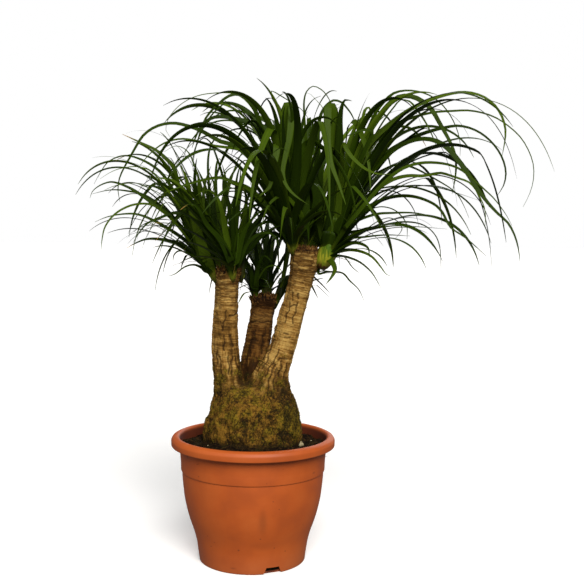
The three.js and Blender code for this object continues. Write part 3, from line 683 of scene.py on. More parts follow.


# Placed leaves: blade width in millimetres, depth of the tip, places in the camera's picture of 584
# as across and down by turns, and for some a tone that is painted light and shade on the blade
placedLeaves = {
    "shoot_right_front": [
        (8, -70, [285, 215, 268, 150, 254, 108, 238, 94, 222, 101, 206, 118, 199, 137, 194, 155, 193, 171]),
        (4, -40, [282, 200, 262, 128, 244, 99, 226, 93, 207, 94, 194, 97, 180, 105, 170, 116, 166, 127, 167,
         134, 172, 139]),
        (9, -60, [276, 190, 241, 150, 221, 142, 199, 130, 183, 125, 170, 123, 159, 126, 148, 131, 140, 140,
         132, 154, 124, 168, 119, 180, 118, 191, 120, 202]),
        (8, -90, [275, 195, 258, 160, 240, 150, 214, 146, 200, 142, 184, 139, 170, 141, 158, 147, 146, 158,
         137, 170]),
        (11, -100, [270, 210, 250, 190, 234, 183, 220, 178, 200, 181, 180, 187, 159, 195], 0.6),
        (15, -60, [318, 205, 305, 162, 289, 147, 270, 131, 250, 123, 230, 118, 216, 117, 204, 123, 197, 134,
         192, 148]),
        (8, -30, [290, 170, 279, 134, 263, 120, 243, 112, 228, 111, 214, 117, 203, 128]),
        (17, -95, [297, 215, 288, 170, 285, 134, 286, 110, 290, 102, 292, 110, 291, 122, 289, 140, 284, 163,
         283, 175, 287, 187, 297, 197, 309, 205], 0.6),
        (12, -90, [296, 215, 288, 172, 284, 140, 283, 118, 285, 106], 0.0),
        (17, -100, [290, 215, 284, 185, 278, 158, 276, 144, 277, 148, 275, 160, 272, 172, 270, 186, 262, 194,
         253, 201], 0.6),
        (12, -40, [286, 236, 270, 214, 254, 198, 242, 188, 228, 183], 0.05),
        (12, -20, [292, 236, 284, 205, 274, 180, 262, 162, 250, 152], 0.1),
        (14, -30, [304, 225, 306, 190, 308, 160, 310, 136, 314, 120], 0.35),
        (13, -20, [308, 225, 314, 190, 317, 160, 316, 136, 310, 122], 0.2),
        (8, -20, [304, 200, 300, 150, 302, 125, 307, 108, 314, 99, 321, 96]),
        (5, -20, [309, 190, 306, 140, 304, 107, 306, 93, 313, 86, 324, 92, 331, 104, 334, 120]),
        (5, 0, [296, 190, 288, 130, 272, 97, 271, 91, 281, 96, 292, 103, 302, 110, 312, 124]),
        (6, -80, [290, 225, 274, 208, 258, 205, 240, 212, 224, 226]),
        (8, -90, [302, 220, 290, 200, 280, 196, 268, 206, 262, 224]),
        (8, -50, [288, 240, 279, 227, 268, 222, 256, 228, 247, 242], 0.2),
        (7, -30, [286, 240, 272, 233, 257, 238, 246, 251], 0.1),
        (8, -10, [288, 240, 279, 222, 271, 206, 262, 196, 250, 190], 0.1),
    ],
    "shoot_right_back": [
        (10, 20, [316, 243, 320, 228, 323, 212, 328, 196, 334, 182]),
        (10, 25, [312, 243, 314, 228, 316, 214, 314, 198, 310, 184]),
        (9, 30, [308, 243, 304, 228, 298, 214, 294, 198, 292, 182]),
        (9, 35, [320, 244, 327, 234, 336, 224, 346, 213, 356, 204]),
        (8, 30, [306, 243, 298, 232, 288, 222, 278, 214, 268, 210]),
        (7, 40, [310, 243, 308, 226, 304, 208, 306, 192, 312, 178]),
        (6, 45, [302, 244, 292, 238, 282, 236, 274, 240, 268, 248]),
        (4, 40, [334, 190, 336, 140, 324, 110, 313, 97, 306, 89]),
        (9, 30, [320, 190, 318, 140, 322, 112, 336, 100, 350, 112, 358, 130]),
        (9, 20, [345, 190, 352, 150, 363, 118, 366, 106, 371, 112, 373, 130, 372, 150]),
    ],
    "shoot_right_outer": [
        (14, -6, [328, 250, 324, 238, 320, 224, 318, 210, 317, 194]),
        (13, -16, [328, 248, 327, 232, 327, 214, 330, 196, 334, 180]),
        (19, -110, [333, 215, 335, 165, 334, 120, 331, 103, 328, 108, 328, 122, 328, 140, 331, 163, 338, 182,
         346, 205], 0.6),
        (22, -80, [334, 220, 337, 180, 339, 145, 340, 118, 344, 101, 352, 101], 0.1),
        (14, -90, [338, 225, 350, 188, 361, 160, 371, 137, 372, 131, 360, 131, 343, 138]),
        (11, -100, [336, 222, 340, 190, 342, 160, 343, 144, 350, 155, 364, 168, 378, 174, 391, 174]),
        (6, -60, [345, 200, 362, 145, 372, 120, 381, 105, 396, 92, 410, 91, 424, 93, 438, 101, 448, 112, 456,
         127, 460, 142, 460, 156]),
        (12, -70, [343, 205, 358, 155, 368, 134, 383, 112, 394, 100, 405, 96, 418, 99, 431, 109, 440, 124,
         451, 144, 456, 160, 455, 179, 452, 194]),
        (13, -30, [344, 205, 360, 160, 373, 140, 397, 119, 419, 105, 440, 97, 456, 93, 471, 93, 487, 99, 499,
         111, 505, 127, 505, 140, 502, 156]),
        (5, -10, [350, 190, 368, 150, 384, 134, 404, 121, 430, 113, 454, 111, 474, 111, 494, 117, 507, 125,
         521, 138, 530, 154, 534, 171, 531, 190, 523, 207]),
        (11, -60, [345, 212, 360, 187, 380, 160, 400, 145, 420, 135, 440, 129, 459, 126, 474, 130, 487, 138,
         499, 152, 505, 167, 505, 182, 497, 196]),
        (12, -110, [346, 215, 362, 185, 388, 155, 412, 141, 432, 140, 447, 148, 456, 158, 466, 171, 476, 187,
         487, 202, 501, 217, 511, 227, 518, 247, 520, 262]),
        (6, -140, [350, 222, 400, 170, 450, 165, 485, 190, 495, 200, 505, 213, 512, 226]),
        (7, -60, [346, 220, 370, 195, 390, 181, 407, 176, 424, 176, 440, 173, 454, 177, 470, 183, 478, 194,
         485, 210, 485, 226]),
        (5, -20, [348, 215, 370, 180, 387, 168, 400, 165, 414, 168, 435, 179, 454, 191, 462, 202, 469, 218]),
        (4, 20, [348, 222, 365, 203, 384, 191, 407, 186, 427, 186, 447, 190, 478, 200]),
        (8, -80, [350, 222, 368, 208, 385, 199, 403, 196, 419, 198, 435, 205, 444, 215, 450, 227, 467, 239,
         486, 256]),
        (5, -60, [350, 226, 373, 215, 393, 213, 414, 213, 434, 217, 446, 222]),
        (5, 0, [348, 234, 360, 231, 380, 226, 404, 222, 423, 225, 435, 235, 440, 249, 441, 270]),
        (4, -40, [350, 236, 370, 230, 393, 226, 420, 227, 447, 229]),
        (4, -70, [348, 240, 365, 237, 387, 235, 410, 236]),
        (4, -90, [350, 238, 365, 230, 377, 222, 388, 218, 397, 221, 402, 229, 395, 239]),
        (5, -100, [352, 222, 375, 208, 392, 209, 403, 218, 407, 227, 407, 239]),
        (6, -50, [338, 252, 350, 250, 362, 252, 372, 257, 380, 266, 386, 274, 391, 276]),
        (5, -80, [340, 256, 346, 259, 352, 267, 359, 273]),
        (4, -30, [340, 256, 350, 258, 361, 263, 372, 273, 381, 288]),
        (8, -60, [338, 248, 347, 244, 358, 243, 368, 248, 369, 257]),
        (8, -60, [332, 262, 335, 270, 331, 278, 326, 284]),
        (4, 10, [318, 273, 328, 272, 342, 273, 350, 281, 359, 290, 364, 301]),
    ],
    "shoot_left_outer": [
        (6, -20, [200, 245, 191, 226, 178, 200, 164, 176, 148, 163, 130, 156, 118, 157, 107, 163, 99, 175, 94,
         184]),
        (5, -60, [198, 240, 178, 205, 154, 174, 139, 167, 123, 168, 111, 172, 100, 179]),
        (8, -40, [201, 255, 194, 245, 175, 221, 156, 206, 135, 191, 120, 184, 110, 182, 99, 186, 92, 192, 90,
         198]),
        (6, 0, [200, 250, 189, 237, 170, 214, 146, 196, 127, 191, 110, 190, 92, 194]),
        (7, -70, [200, 254, 189, 240, 172, 220, 154, 206, 140, 204, 127, 207, 114, 215, 105, 227, 102, 240,
         101, 250]),
        (6, -20, [200, 255, 186, 241, 162, 225, 140, 215, 124, 214, 107, 217, 95, 222]),
        (7, -50, [200, 245, 189, 218, 175, 213, 162, 217, 148, 223, 139, 233, 133, 243]),
        (8, -30, [204, 264, 198, 258, 180, 245, 164, 240, 148, 239, 136, 243, 127, 248]),
        (6, -60, [206, 268, 198, 259, 187, 253, 179, 251, 174, 255, 173, 261]),
        (5, -40, [205, 271, 202, 268, 194, 265, 185, 267, 175, 274, 168, 276]),
        (10, 10, [203, 255, 189, 214, 180, 191, 174, 168, 163, 156, 154, 149, 135, 140, 122, 134]),
        (14, -70, [206, 255, 201, 225, 196, 195, 195, 172, 197, 158], 0.15),
        (14, -80, [206, 258, 199, 235, 191, 208, 183, 190, 171, 180, 156, 178], 0.8),
        (15, -40, [205, 262, 197, 236, 191, 206, 187, 181, 180, 164], 0.75),
        (15, -50, [207, 262, 203, 238, 200, 214, 199, 190, 198, 172], 0.6),
        (15, -60, [206, 262, 199, 240, 193, 217, 188, 198, 180, 184], 0.65),
        (13, -30, [204, 264, 193, 241, 183, 216, 171, 197, 156, 187, 140, 186], 0.4),
        (12, -20, [208, 262, 207, 240, 207, 215, 208, 195, 212, 180], 0.05),
        (12, 0, [210, 262, 213, 240, 214, 218, 212, 196, 206, 180], 0.05),
    ],
    "shoot_left_front": [
        (11, -40, [236, 262, 240, 236, 245, 214, 246, 196, 240, 184]),
        (10, -20, [236, 262, 243, 236, 251, 206, 257, 182, 258, 165], 0.05),
        (10, -10, [238, 262, 250, 238, 262, 214, 272, 194, 280, 180], 0.1),
        (8, -40, [238, 262, 250, 249, 262, 236, 276, 227, 290, 224], 0.15),
        (9, -60, [234, 262, 236, 230, 236, 200, 237, 178, 242, 160], 0.45),
        (9, -30, [238, 262, 246, 240, 256, 222, 268, 212, 280, 210]),
        (9, -60, [234, 262, 234, 247, 233, 227, 234, 207, 236, 194]),
        (10, -80, [236, 262, 241, 241, 248, 225, 260, 212, 272, 206]),
        (10, -90, [231, 262, 221, 241, 207, 225, 198, 209, 190, 204, 180, 210]),
        (7, -70, [238, 264, 248, 243, 262, 233, 274, 236, 280, 248]),
        (11, -60, [232, 258, 226, 235, 222, 212, 216, 196, 206, 190, 196, 196]),
        (5, -40, [232, 240, 226, 190, 214, 150, 205, 138, 196, 146, 192, 162]),
        (9, -20, [235, 250, 232, 215, 224, 190, 226, 172, 238, 165]),
    ],
    "shoot_left_back": [
        (10, 30, [212, 256, 212, 235, 210, 210, 205, 186, 196, 166]),
        (9, 40, [216, 256, 220, 232, 224, 206, 226, 182, 222, 164]),
        (9, 20, [214, 254, 216, 230, 217, 206, 214, 184, 208, 170]),
        (8, 30, [218, 256, 226, 238, 236, 219, 247, 205, 258, 198]),
        (9, 25, [210, 254, 205, 230, 203, 206, 205, 184, 211, 166]),
        (8, 50, [216, 254, 224, 226, 234, 200, 240, 180, 240, 166]),
        (7, 45, [208, 250, 196, 222, 186, 200, 174, 184, 162, 178]),
        (6, 60, [214, 240, 210, 200, 208, 160, 214, 140, 228, 133, 240, 140]),
        (5, 50, [212, 245, 206, 205, 196, 170, 188, 152, 176, 146, 164, 152]),
        (7, 40, [218, 245, 222, 205, 232, 175, 246, 160, 258, 168]),
    ],
    "shoot_middle_outer": [
        (9, 0, [253, 285, 251, 272, 246, 262, 240, 262]),
        (9, 0, [262, 285, 266, 262, 270, 241, 276, 226], 0.05),
        (9, 5, [258, 285, 257, 262, 256, 243, 260, 228], 0.05),
        (8, -10, [256, 285, 258, 268, 264, 256, 272, 262]),
        (5, -20, [250, 292, 244, 294, 240, 300, 238, 304]),
        (4, -30, [258, 280, 266, 268, 276, 266, 284, 274]),
    ],
}


def atPixel(across, down, depth):
    # the place in the plane y = depth that the camera sees at a pixel
    middle = view["imageWidth"] / 2
    ray = aim @ Vector(((across - middle) / view["focal"], (middle - down) / view["focal"], -1))
    start = Vector(view["place"])
    return np.array(start + ray * ((depth * mm - start.y) / ray.y)) / mm


def placedLeaf(shoot, draw, width, depth, places, tone=None):
    # a leaf from its shoot's foot through places in the camera's picture
    picture = list(zip(places[::2], places[1::2]))
    foot = np.array(shoot["foot"], float) + unit(shoot["lean"]) * leafForm["placedLift"]
    gaps = [math.dist(a, b) for a, b in zip(picture[:-1], picture[1:])]
    first = gaps[0] * leafForm["placedFirst"]
    spots, passed = [foot], first
    for place, gap in zip(picture, gaps + [0]):
        spots.append(atPixel(*place, foot[1] + (depth - foot[1]) * (passed / (first + sum(gaps)))))
        passed += gap
    line = np.array(curveThrough(spots, leafForm["placedParts"]))
    passed = np.concatenate([[0], np.cumsum(np.linalg.norm(np.diff(line, axis=0), axis=1))])
    steps = growth["steps"]
    even = np.linspace(0, passed[-1], steps + 1)
    line = np.stack([np.interp(even, passed, line[:, axis]) for axis in range(3)], axis=1)
    line = np.clip(line, leafForm["least"], leafForm["most"])
    upward, swing = draw(*leafForm["placedTilt"]), draw(*leafForm["placedSwing"])
    width *= leafForm["placedWidth"]
    rings = []
    for step, point in enumerate(line):
        t = step / steps
        along = unit(line[min(step + 1, steps)] - line[max(step - 1, 0)])
        tilt, turn = math.radians(upward), math.radians(swing * math.sin(3 * t))
        face = np.array([math.sin(turn) * math.cos(tilt), -math.cos(turn) * math.cos(tilt), math.sin(tilt)])
        face = unit(face - along * (face @ along))
        rings.append((point, cross(along, face) * -1, face, halfWidthAt(width, t), t))
    start = line[leafForm["sheathSteps"]] - foot
    return rings, {"age": 0.5, "turn": math.degrees(math.atan2(start[1], start[0])), "tone": tone}


def addSheath(shoot, rings, leaf):
    # a leaf leaves its shoot as a sheath along it, and only then turns into its own direction
    joint = leafForm["sheathSteps"]
    point, side, face, halfWidth, t = rings[joint]
    lean = unit(shoot["lean"])
    turn = math.radians(leaf["turn"])
    around = np.array([math.cos(turn), math.sin(turn), 0])
    around = unit(around - lean * (around @ lean))
    age = leaf["age"]
    low, high = leafForm["rootHeight"]
    root = np.array(shoot["foot"], float) + lean * (low + (high - low) * (1 - age))
    root += around * shoot["core"] * leafForm["rootSpread"] * (leafForm["rootYoung"] + age)
    along = cross(side, face) * -1
    reach = np.linalg.norm(point - root)
    inward, outward = -around, unit(lean + around * leafForm["rootLean"])
    rootSide = cross(lean, inward)
    sheath = []
    for step in range(joint):
        u = step / joint
        a, b, c, d = 2*u**3 - 3*u**2 + 1, u**3 - 2*u**2 + u, 3*u**2 - 2*u**3, u**3 - u**2
        spot = a * root + b * reach * outward + c * point + d * reach * along
        blend = u * u * (3 - 2 * u)
        spotSide = unit(rootSide * (1 - blend) + side * blend)
        spotFace = unit(inward * (1 - blend) + face * blend)
        wide = rings[step][3] * (leafForm["rootWidth"] + (1 - leafForm["rootWidth"]) * blend)
        sheath.append((spot, spotSide, spotFace, wide, rings[step][4]))
    return sheath + rings[joint:]


def leafPaths(name, leaves, draw):
    # all leaves of a shoot as chains of points that carry what the sweep needs
    points, edges, columns = [], [], {"along": [], "halfWidth": [], "clasping": [], "tone": [], "dry": []}
    sideways, facing = [], []
    for rings, leaf in leaves:
        rings = addSheath(shoots[name.rsplit("_", 1)[0]], rings, leaf)
        # a placed leaf's given tone is painted light and shade; the others' is random and higher for young
        # leaves
        tone = draw(*leafForm["tones"]) + leafForm["youngTone"] * (1 - leaf["age"])
        if leaf.get("tone") is not None:
            tone = leaf["tone"]
        dry = 1.0 if draw(0, 1) < leafForm["dryShare"] else 0.0
        for step, (point, side, face, halfWidth, t) in enumerate(rings):
            clasping = math.exp(-t / leafForm["claspLength"])
            slim = 1 - leafForm["slimTip"] * t
            slim *= 1 - leafForm["slimOld"] * min(1, max(0, leaf["age"] - leafForm["slimFrom"]) / 0.4)
            if step:
                edges.append((len(points) - 1, len(points)))
            points.append(point * mm)
            sideways.append(side)
            facing.append(face)
            columns["along"].append(t)
            columns["clasping"].append(clasping)
            wide = halfWidth * slim * (1 + leafForm["sheathWidth"] * clasping)
            columns["halfWidth"].append(max(leafForm["thread"], wide) * mm)
            columns["tone"].append(tone)
            columns["dry"].append(dry)
    mesh = meshFrom(name, points, [], edges)
    for label, values in columns.items():
        setAttribute(mesh, label, values)
    setAttribute(mesh, "sideways", sideways, "FLOAT_VECTOR")
    setAttribute(mesh, "facing", facing, "FLOAT_VECTOR")
    return newObject(name, mesh)


bulbForm = {
    # radius as a part of the girth, height in millimetres
    "rows": [(0, -14), (0.42, -12), (0.66, -7), (0.8, 0), (0.86, 7), (0.82, 15), (0.72, 23), (0.58, 31),
             (0.42, 38), (0.22, 45), (0, 50)],
    "sides": 28,
    "flutes": 7,
    "fluteDepth": 0.05,
    "slant": 0.08,
    "joint": 60,              # degrees up to which faces are smoothed together
    # how wide, as a part of the shoot's core, and how lit: painted light, where a low value gives the foot
    # the painted shaded colour
    "shapes": {"shoot_right_outer": (1.28, 0.95), "shoot_left_front": (0.68, 0.6),
               "shoot_right_front": (0.78, 0.55), "shoot_left_outer": (0.7, 0.35), "others": (0.66, 0.08)},
}


def makeBulb(name, shoot):
    # the fleshy foot that a shoot's leaves stand out of
    points, heights = [], []
    rows, sides = bulbForm["rows"], bulbForm["sides"]
    turn = Vector((0, 0, 1)).rotation_difference(Vector(shoot["lean"]))
    girth, pale = bulbForm["shapes"].get(name.removesuffix("_bulb"), bulbForm["shapes"]["others"])
    girth *= shoot["core"]
    low, high = rows[0][1], rows[-1][1]
    for radius, height in rows[1:-1]:
        for i in range(sides):
            angle = 2 * math.pi * i / sides
            wave = math.sin(bulbForm["flutes"] * angle + height * bulbForm["slant"])
            flute = 1 + bulbForm["fluteDepth"] * wave
            spot = Vector((math.cos(angle), math.sin(angle), 0)) * radius * girth * flute
            spot.z = height
            points.append((turn @ spot + Vector(shoot["foot"])) * mm)
            heights.append((height - low) / (high - low))
    rings = len(rows) - 2
    faces = bands(rings, sides)
    faces.append(tuple(reversed(range(sides))))
    faces.append(tuple(range((rings - 1) * sides, rings * sides)))
    mesh = meshFrom(name, points, faces)
    setAttribute(mesh, "along", heights)
    # the tone is painted light: how lit this foot looks among the leaves
    setAttribute(mesh, "tone", [pale] * len(points))
    mesh.materials.append(bulbSkin)
    smoothByAngle(mesh, bulbForm["joint"])
    return newObject(name, mesh)


leafCount = 0
for name, shoot in shoots.items():
    walls, draw = wallsOf(shoot), makeDraw(shoot["seed"])
    grown = [growLeaf(shoot, number, walls, draw) for number in range(shoot["leaves"])]
    grown = [(rings, leaf) for rings, leaf in grown if rings]
    more = makeDraw(shoot["seed"] + leafForm["freeSeed"])
    share = leafForm["freeShare"].get(name, leafForm["freeShare"]["others"])
    free = [freeLeaf(shoot, more) for _ in range(round(shoot["leaves"] * share))]
    free = [(rings, leaf) for rings, leaf in free if rings]
    free += [placedLeaf(shoot, more, *row) for row in placedLeaves.get(name, ())]
    wide = runTree(leafPaths(name + "_blades", grown, more), leafTree, {"Material": leafSkin})
    thin = runTree(leafPaths(name + "_thin", free, more), leafTree,
                   {"Material": leafSkin, "Section": leafForm["thinSection"]})
    piece = joined(name.replace("shoot", "fronds"), [wide, thin, makeBulb(name + "_bulb", shoot)])
    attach(piece, "root")
    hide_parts(name)
    leafCount += len(grown) + len(free)
print("leaves made:", leafCount)


# Pot: turned on its axis like the mould it came from, radius and height in millimetres

potForm = {
    "outside": [(70.5, 0), (71.5, 1), (72.4, 9), (74.4, 23), (78, 38), (84.6, 57), (88.5, 71), (91.5, 85),
                (93.3, 99), (94.6, 112), (95.1, 121.3)],
    "band": [(96.6, 122.3), (97.0, 134), (98.4, 150)],
    "rim": [(99, 161.5), (105.9, 162), (106.8, 154.8), (109.7, 155.2), (110, 162.5), (108, 166.2),
            (104, 168), (100.6, 168), (98.7, 165.6)],
    "inside": [(95.2, 140), (92.7, 119.5), (89.1, 85), (86.1, 71), (75.6, 38), (70.2, 9), (66.1, 3)],
    "corner": 1.1,            # radius of the rounded edges
    "sides": 168,
    "joint": 34,              # degrees up to which faces are smoothed together
    "roughness": (0.5, 0.62),
    "floor": (60.0, 3.0),     # where the inner floor's even part begins, and its height
    "innerReach": 0.8,        # how far outside the inner line its painted shade still covers
    "notch": {"angles": (24, 94, 204, 274), "below": 1, "bottom": 26, "top": 17.5, "height": 9,
              "inner": 66, "reach": 20},
}
# inside is painted shade for the inner wall above the peat
potColours = {"plain": "#B35218", "warm": "#BA591D", "dull": "#A94D19", "dust": "#8A6448",
              "smudge": "#5E2C12", "inside": "#4A1C0A"}

# x, z, half width, half height in millimetres, and how dark
potMarks = [(16.4, 74, 8, 26, 0.3), (-14.6, 34, 2, 1.8, 0.8), (81, 130, 3, 2.5, 0.5), (-83, 149, 2.4, 3, 0.6),
            (-22, 8, 6, 2, 0.4), (20, 40, 30, 9, 0.16)]


def roundedLine(rows, radius, parts=3):
    # a line whose corners are rounded off
    rows = [np.array(row, float) for row in rows]
    line = [rows[0]]
    for before, corner, after in zip(rows[:-2], rows[1:-1], rows[2:]):
        back, on = before - corner, after - corner
        near = min(radius, np.linalg.norm(back) / 2.2, np.linalg.norm(on) / 2.2)
        start, end = corner + unit(back) * near, corner + unit(on) * near
        for part in range(parts + 1):
            t = part / parts
            line.append((1 - t)**2 * start + 2 * t * (1 - t) * corner + t**2 * end)
    return line + [rows[-1]]


def turnedMesh(name, line, sides):
    # a closed body from an outline whose two ends are on the axis
    points, faces = [(0, 0, line[0][1] * mm)], []
    for radius, height in line[1:-1]:
        for i in range(sides):
            angle = 2 * math.pi * i / sides
            points.append((radius * math.cos(angle) * mm, radius * math.sin(angle) * mm, height * mm))
    points.append((0, 0, line[-1][1] * mm))
    rings, last = len(line) - 2, len(points) - 1
    for i in range(sides):
        j = (i + 1) % sides
        faces.append((0, 1 + j, 1 + i))
        for ring in range(rings - 1):
            a, b = 1 + ring * sides, 1 + (ring + 1) * sides
            faces.append((a + i, a + j, b + j, b + i))
        top = 1 + (rings - 1) * sides
        faces.append((top + i, top + j, last))
    mesh = meshFrom(name, points, faces)
    mesh.shade_smooth()
    return mesh


def makePotMaterial():
    # moulded polypropylene in terracotta colour: soft satin, cloudy, scuffed and dusty near the ground
    material, tree = newMaterial("mouldedPolypropylene")
    place = addNode(tree, "TexCoord", output="Object")
    height = addNode(tree, "SeparateXYZ", None, (place,), "Z")
    cloud = addNode(tree, "TexNoise", None, (place, 22.0, 4.0), "Fac")
    colour = addNode(tree, "ValToRGB", {"stops": [
        (0.35, potColours["dull"]), (0.5, potColours["plain"]), (0.7, potColours["warm"])]}, (cloud,))
    # upright runs of dried water, about 12 mm apart
    tall = addNode(tree, "Mapping", None, {"Vector": place, "Scale": (80, 80, 9)})
    runs = addNode(tree, "TexNoise", None, (tall, 1.0, 3.0), "Fac")
    runShare = addNode(tree, "MapRange", None, (runs, 0.52, 0.75, 0.0, 0.28))
    colour = addNode(tree, "Mix", ofColours, (runShare, colour, potColours["dull"]))
    # specks of dried peat, 1 to 2 mm wide
    speckle = addNode(tree, "TexVoronoi", {"feature": "F1"}, (place, 60.0), "Distance")
    speckShare = addNode(tree, "MapRange", None, (speckle, 0.045, 0.075, 0.55, 0.0))
    sparse = addNode(tree, "TexNoise", None, (place, 14.0), "Fac")
    somewhere = addNode(tree, "Math", {"operation": "GREATER_THAN"}, (sparse, 0.56))
    specks = addNode(tree, "Math", multiply, (speckShare, somewhere))
    colour = addNode(tree, "Mix", ofColours, (specks, colour, potColours["smudge"]))
    # dust that lies thickest at the foot of the pot
    low = addNode(tree, "MapRange", None, (height, 0.0, 0.03, 0.32, 0.0))
    dusty = addNode(tree, "Math", multiply, (low, cloud))
    colour = addNode(tree, "Mix", ofColours, (dusty, colour, potColours["dust"]))
    # scuffs and a smudge on the front
    for x, z, wide, high, share in potMarks:
        offset = addNode(tree, "Mapping", None, {
            "Vector": place, "Location": (-x / wide, 0.85, -z / high),
            "Scale": (1 / wide / mm, 10, 1 / high / mm)})
        far = addNode(tree, "VectorMath", {"operation": "LENGTH"}, (offset,), "Value")
        there = addNode(tree, "MapRange", eased, (far, 1.0, 0.1, 0.0, share))
        colour = addNode(tree, "Mix", ofColours, (there, colour, potColours["smudge"]))
    # painted shade: the inner wall above the peat is darkened, most just above the peat
    within = addNode(tree, "Attribute", {"attribute_name": "inner"}, output="Fac")
    below = addNode(tree, "MapRange", None, (height, 0.167, 0.163, 0.2, 0.92))
    innerShade = addNode(tree, "Math", multiply, (within, below))
    colour = addNode(tree, "Mix", ofColours, (innerShade, colour, potColours["inside"]))
    # fine grain of the mould, about 1 mm
    fine = addNode(tree, "TexNoise", None, (place, 900.0, 2.0), "Fac")
    bump = addNode(tree, "Bump", None, {"Height": fine, "Strength": 0.12, "Distance": 0.0003})
    gloss = addNode(tree, "MapRange", None, (cloud, 0.3, 0.7, *potForm["roughness"]))
    finishMaterial(tree, {"Base Color": colour, "Normal": bump, "Roughness": gloss, "IOR": 1.49,
                          "Specular IOR Level": 0.42})
    return material


def makePot():
    foot = roundedLine([(0, 0)] + potForm["outside"][:4], potForm["corner"])[:-1]
    wall = curveThrough(potForm["outside"][2:], 3)[3:]
    upper = [wall[-1], *potForm["band"], *potForm["rim"], potForm["inside"][0]]
    upper = roundedLine(upper, potForm["corner"])
    inner = curveThrough(potForm["inside"], 3)
    radius, height = potForm["floor"]
    outline = foot[:-3] + wall + upper[1:-1] + inner + [np.array((radius, height)), np.array((0.0, height))]
    pot = newObject("pot_moulded", turnedMesh("pot_moulded", outline, potForm["sides"]))
    notch, cutters = potForm["notch"], []
    for angle in notch["angles"]:
        points = []
        for reach in (notch["inner"], notch["inner"] + notch["reach"]):
            for wide, height in ((-notch["bottom"], -notch["below"]), (notch["bottom"], -notch["below"]),
                                 (notch["top"], notch["height"]), (-notch["top"], notch["height"])):
                points.append(Vector((wide / 2, -reach, height)) * mm)
        faces = [(0, 1, 2, 3), (7, 6, 5, 4), (0, 4, 5, 1), (1, 5, 6, 2), (2, 6, 7, 3), (3, 7, 4, 0)]
        cutter = newObject("gateCutter", meshFrom("gateCutter", points, faces))
        cutter.data.transform(Matrix.Rotation(math.radians(angle), 4, "Z"))
        fixNormals(cutter.data)
        cutters.append(cutter)
    cutter = joined("gateCutters", cutters)
    cut = pot.modifiers.new("gates", "BOOLEAN")
    cut.operation, cut.solver, cut.object = "DIFFERENCE", "EXACT", cutter
    workIn(pot)
    bpy.data.objects.remove(cutter)
    smoothByAngle(pot.data, potForm["joint"])
    radii, heights = zip(*reversed(potForm["inside"]), potForm["rim"][-1])
    setAttribute(pot.data, "inner", [
        vertex.co.xy.length / mm < np.interp(vertex.co.z / mm, heights, radii) + potForm["innerReach"]
        for vertex in pot.data.vertices])
    pot.data.materials.clear()
    pot.data.materials.append(makePotMaterial())
    return pot


pot = makePot()
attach(pot, "root")
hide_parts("pot")
print("pot made")


# Trunk: a swollen foot and three stems, rows of x, y, z and half widths, joined by a fine remesh

trunkForm = {
    "foot": [(-0.4, 0, 95, 26, 26), (0.6, 0, 115, 50, 48), (1.1, 0, 140, 62, 57), (1.3, 1, 167, 66.4, 59),
             (0.1, 2, 198, 61.7, 55), (-2.9, 3, 216, 54.5, 47), (-3.4, 4, 228, 42, 38),
             (-3.4, 5, 236, 22, 24)],
    "left": [(-27.4, 0, 198, 27, 27), (-32.4, 0, 228, 21.5, 21.5), (-34.4, 0, 248, 19.4, 19.4),
             (-36.9, -1, 273, 18.4, 18.2), (-38.4, -2, 309, 17.2, 17), (-37.4, -3, 340, 16, 16),
             (-36.6, -3, 366, 15.6, 15.4), (-36.9, -3, 380, 17.2, 17), (-37, -3, 390, 16.2, 15.6)],
    "right": [(14.6, -2, 198, 32, 31), (20.4, -5, 227, 31, 27), (24.6, -6, 250, 23.6, 22),
              (31.6, -6, 268, 19.2, 19), (39.1, -6, 288, 17.2, 17), (48.6, -6, 326, 16.9, 16.8),
              (56.6, -5, 354, 15.8, 15.6), (62.6, -4, 381, 16.6, 16.4), (66.1, -4, 400, 19.2, 18.8),
              (67.4, -4, 418, 18.6, 18)],
    "middle": [(-1.4, 20, 198, 26, 26), (-1.9, 27, 228, 21, 21), (-0.4, 32, 262, 18.6, 18.4),
               (4.6, 38, 291, 17.5, 17.4), (8.9, 43, 324, 16.4, 16.4), (10.6, 45.5, 336, 16.8, 16.6),
               (11.4, 46, 344, 19, 18), (12, 46, 352, 17.6, 17)],
    "ridges": [(5, 1.7, 3), (11, 0, -2)],    # count, start and slant
    "footRelief": (0.028, 0.018),
    "stemRelief": (0.05, 0.025),
    "sides": 96,
    "voxel": 1.28,
    "joinLow": 190, "joinHigh": 272,    # heights between which the stems melt into the foot
    "joinSmoothing": 40, "joinWeight": 1.6,
    "bodySmoothing": 3,
    "blendLow": 222, "blendHigh": 258,    # where the grain turns from the foot's to the stems'
    "stemTop": {"left": 390, "right": 418, "middle": 351},
    "stemFrom": 12,    # place on a stem's finer line where its grain begins
    "block": 20000,    # vertices worked at a time
}


def loftPart(name, rows, relief, parts):
    # a closed tube along rows of middle points and half widths, with slanting woody ridges
    line = curveThrough(rows, parts)
    steps, sides = len(line) - 1, trunkForm["sides"]
    points = []
    for i, (x, y, z, halfX, halfY) in enumerate(line):
        ahead, behind = line[min(i + 1, steps)][:3], line[max(i - 1, 0)][:3]
        along = unit(ahead - behind)
        across = unit(np.array([1.0, 0, 0]) - along * along[0])
        forward = cross(across, along)
        height = i / steps
        for k in range(sides):
            angle = 2 * math.pi * k / sides
            bulge = 1 + sum(depth * math.sin(count * angle + start + slant * height)
                            for depth, (count, start, slant) in zip(relief, trunkForm["ridges"]))
            spot = np.array([x, y, z]) + across * math.sin(angle) * halfX * bulge
            spot += forward * math.cos(angle) * halfY * bulge
            points.append(spot * mm)
    faces = bands(steps + 1, sides)
    low, high = len(points), len(points) + 1
    points += [line[0][:3] * mm, line[-1][:3] * mm]
    for k in range(sides):
        j = (k + 1) % sides
        faces.append((low, j, k))
        faces.append((high, steps * sides + k, steps * sides + j))
    piece = newObject(name, meshFrom(name, points, faces))
    fixNormals(piece.data)
    return piece


def smoothStep(values, low, high):
    t = np.clip((values - low) / (high - low), 0, 1)
    return t * t * (3 - 2 * t)


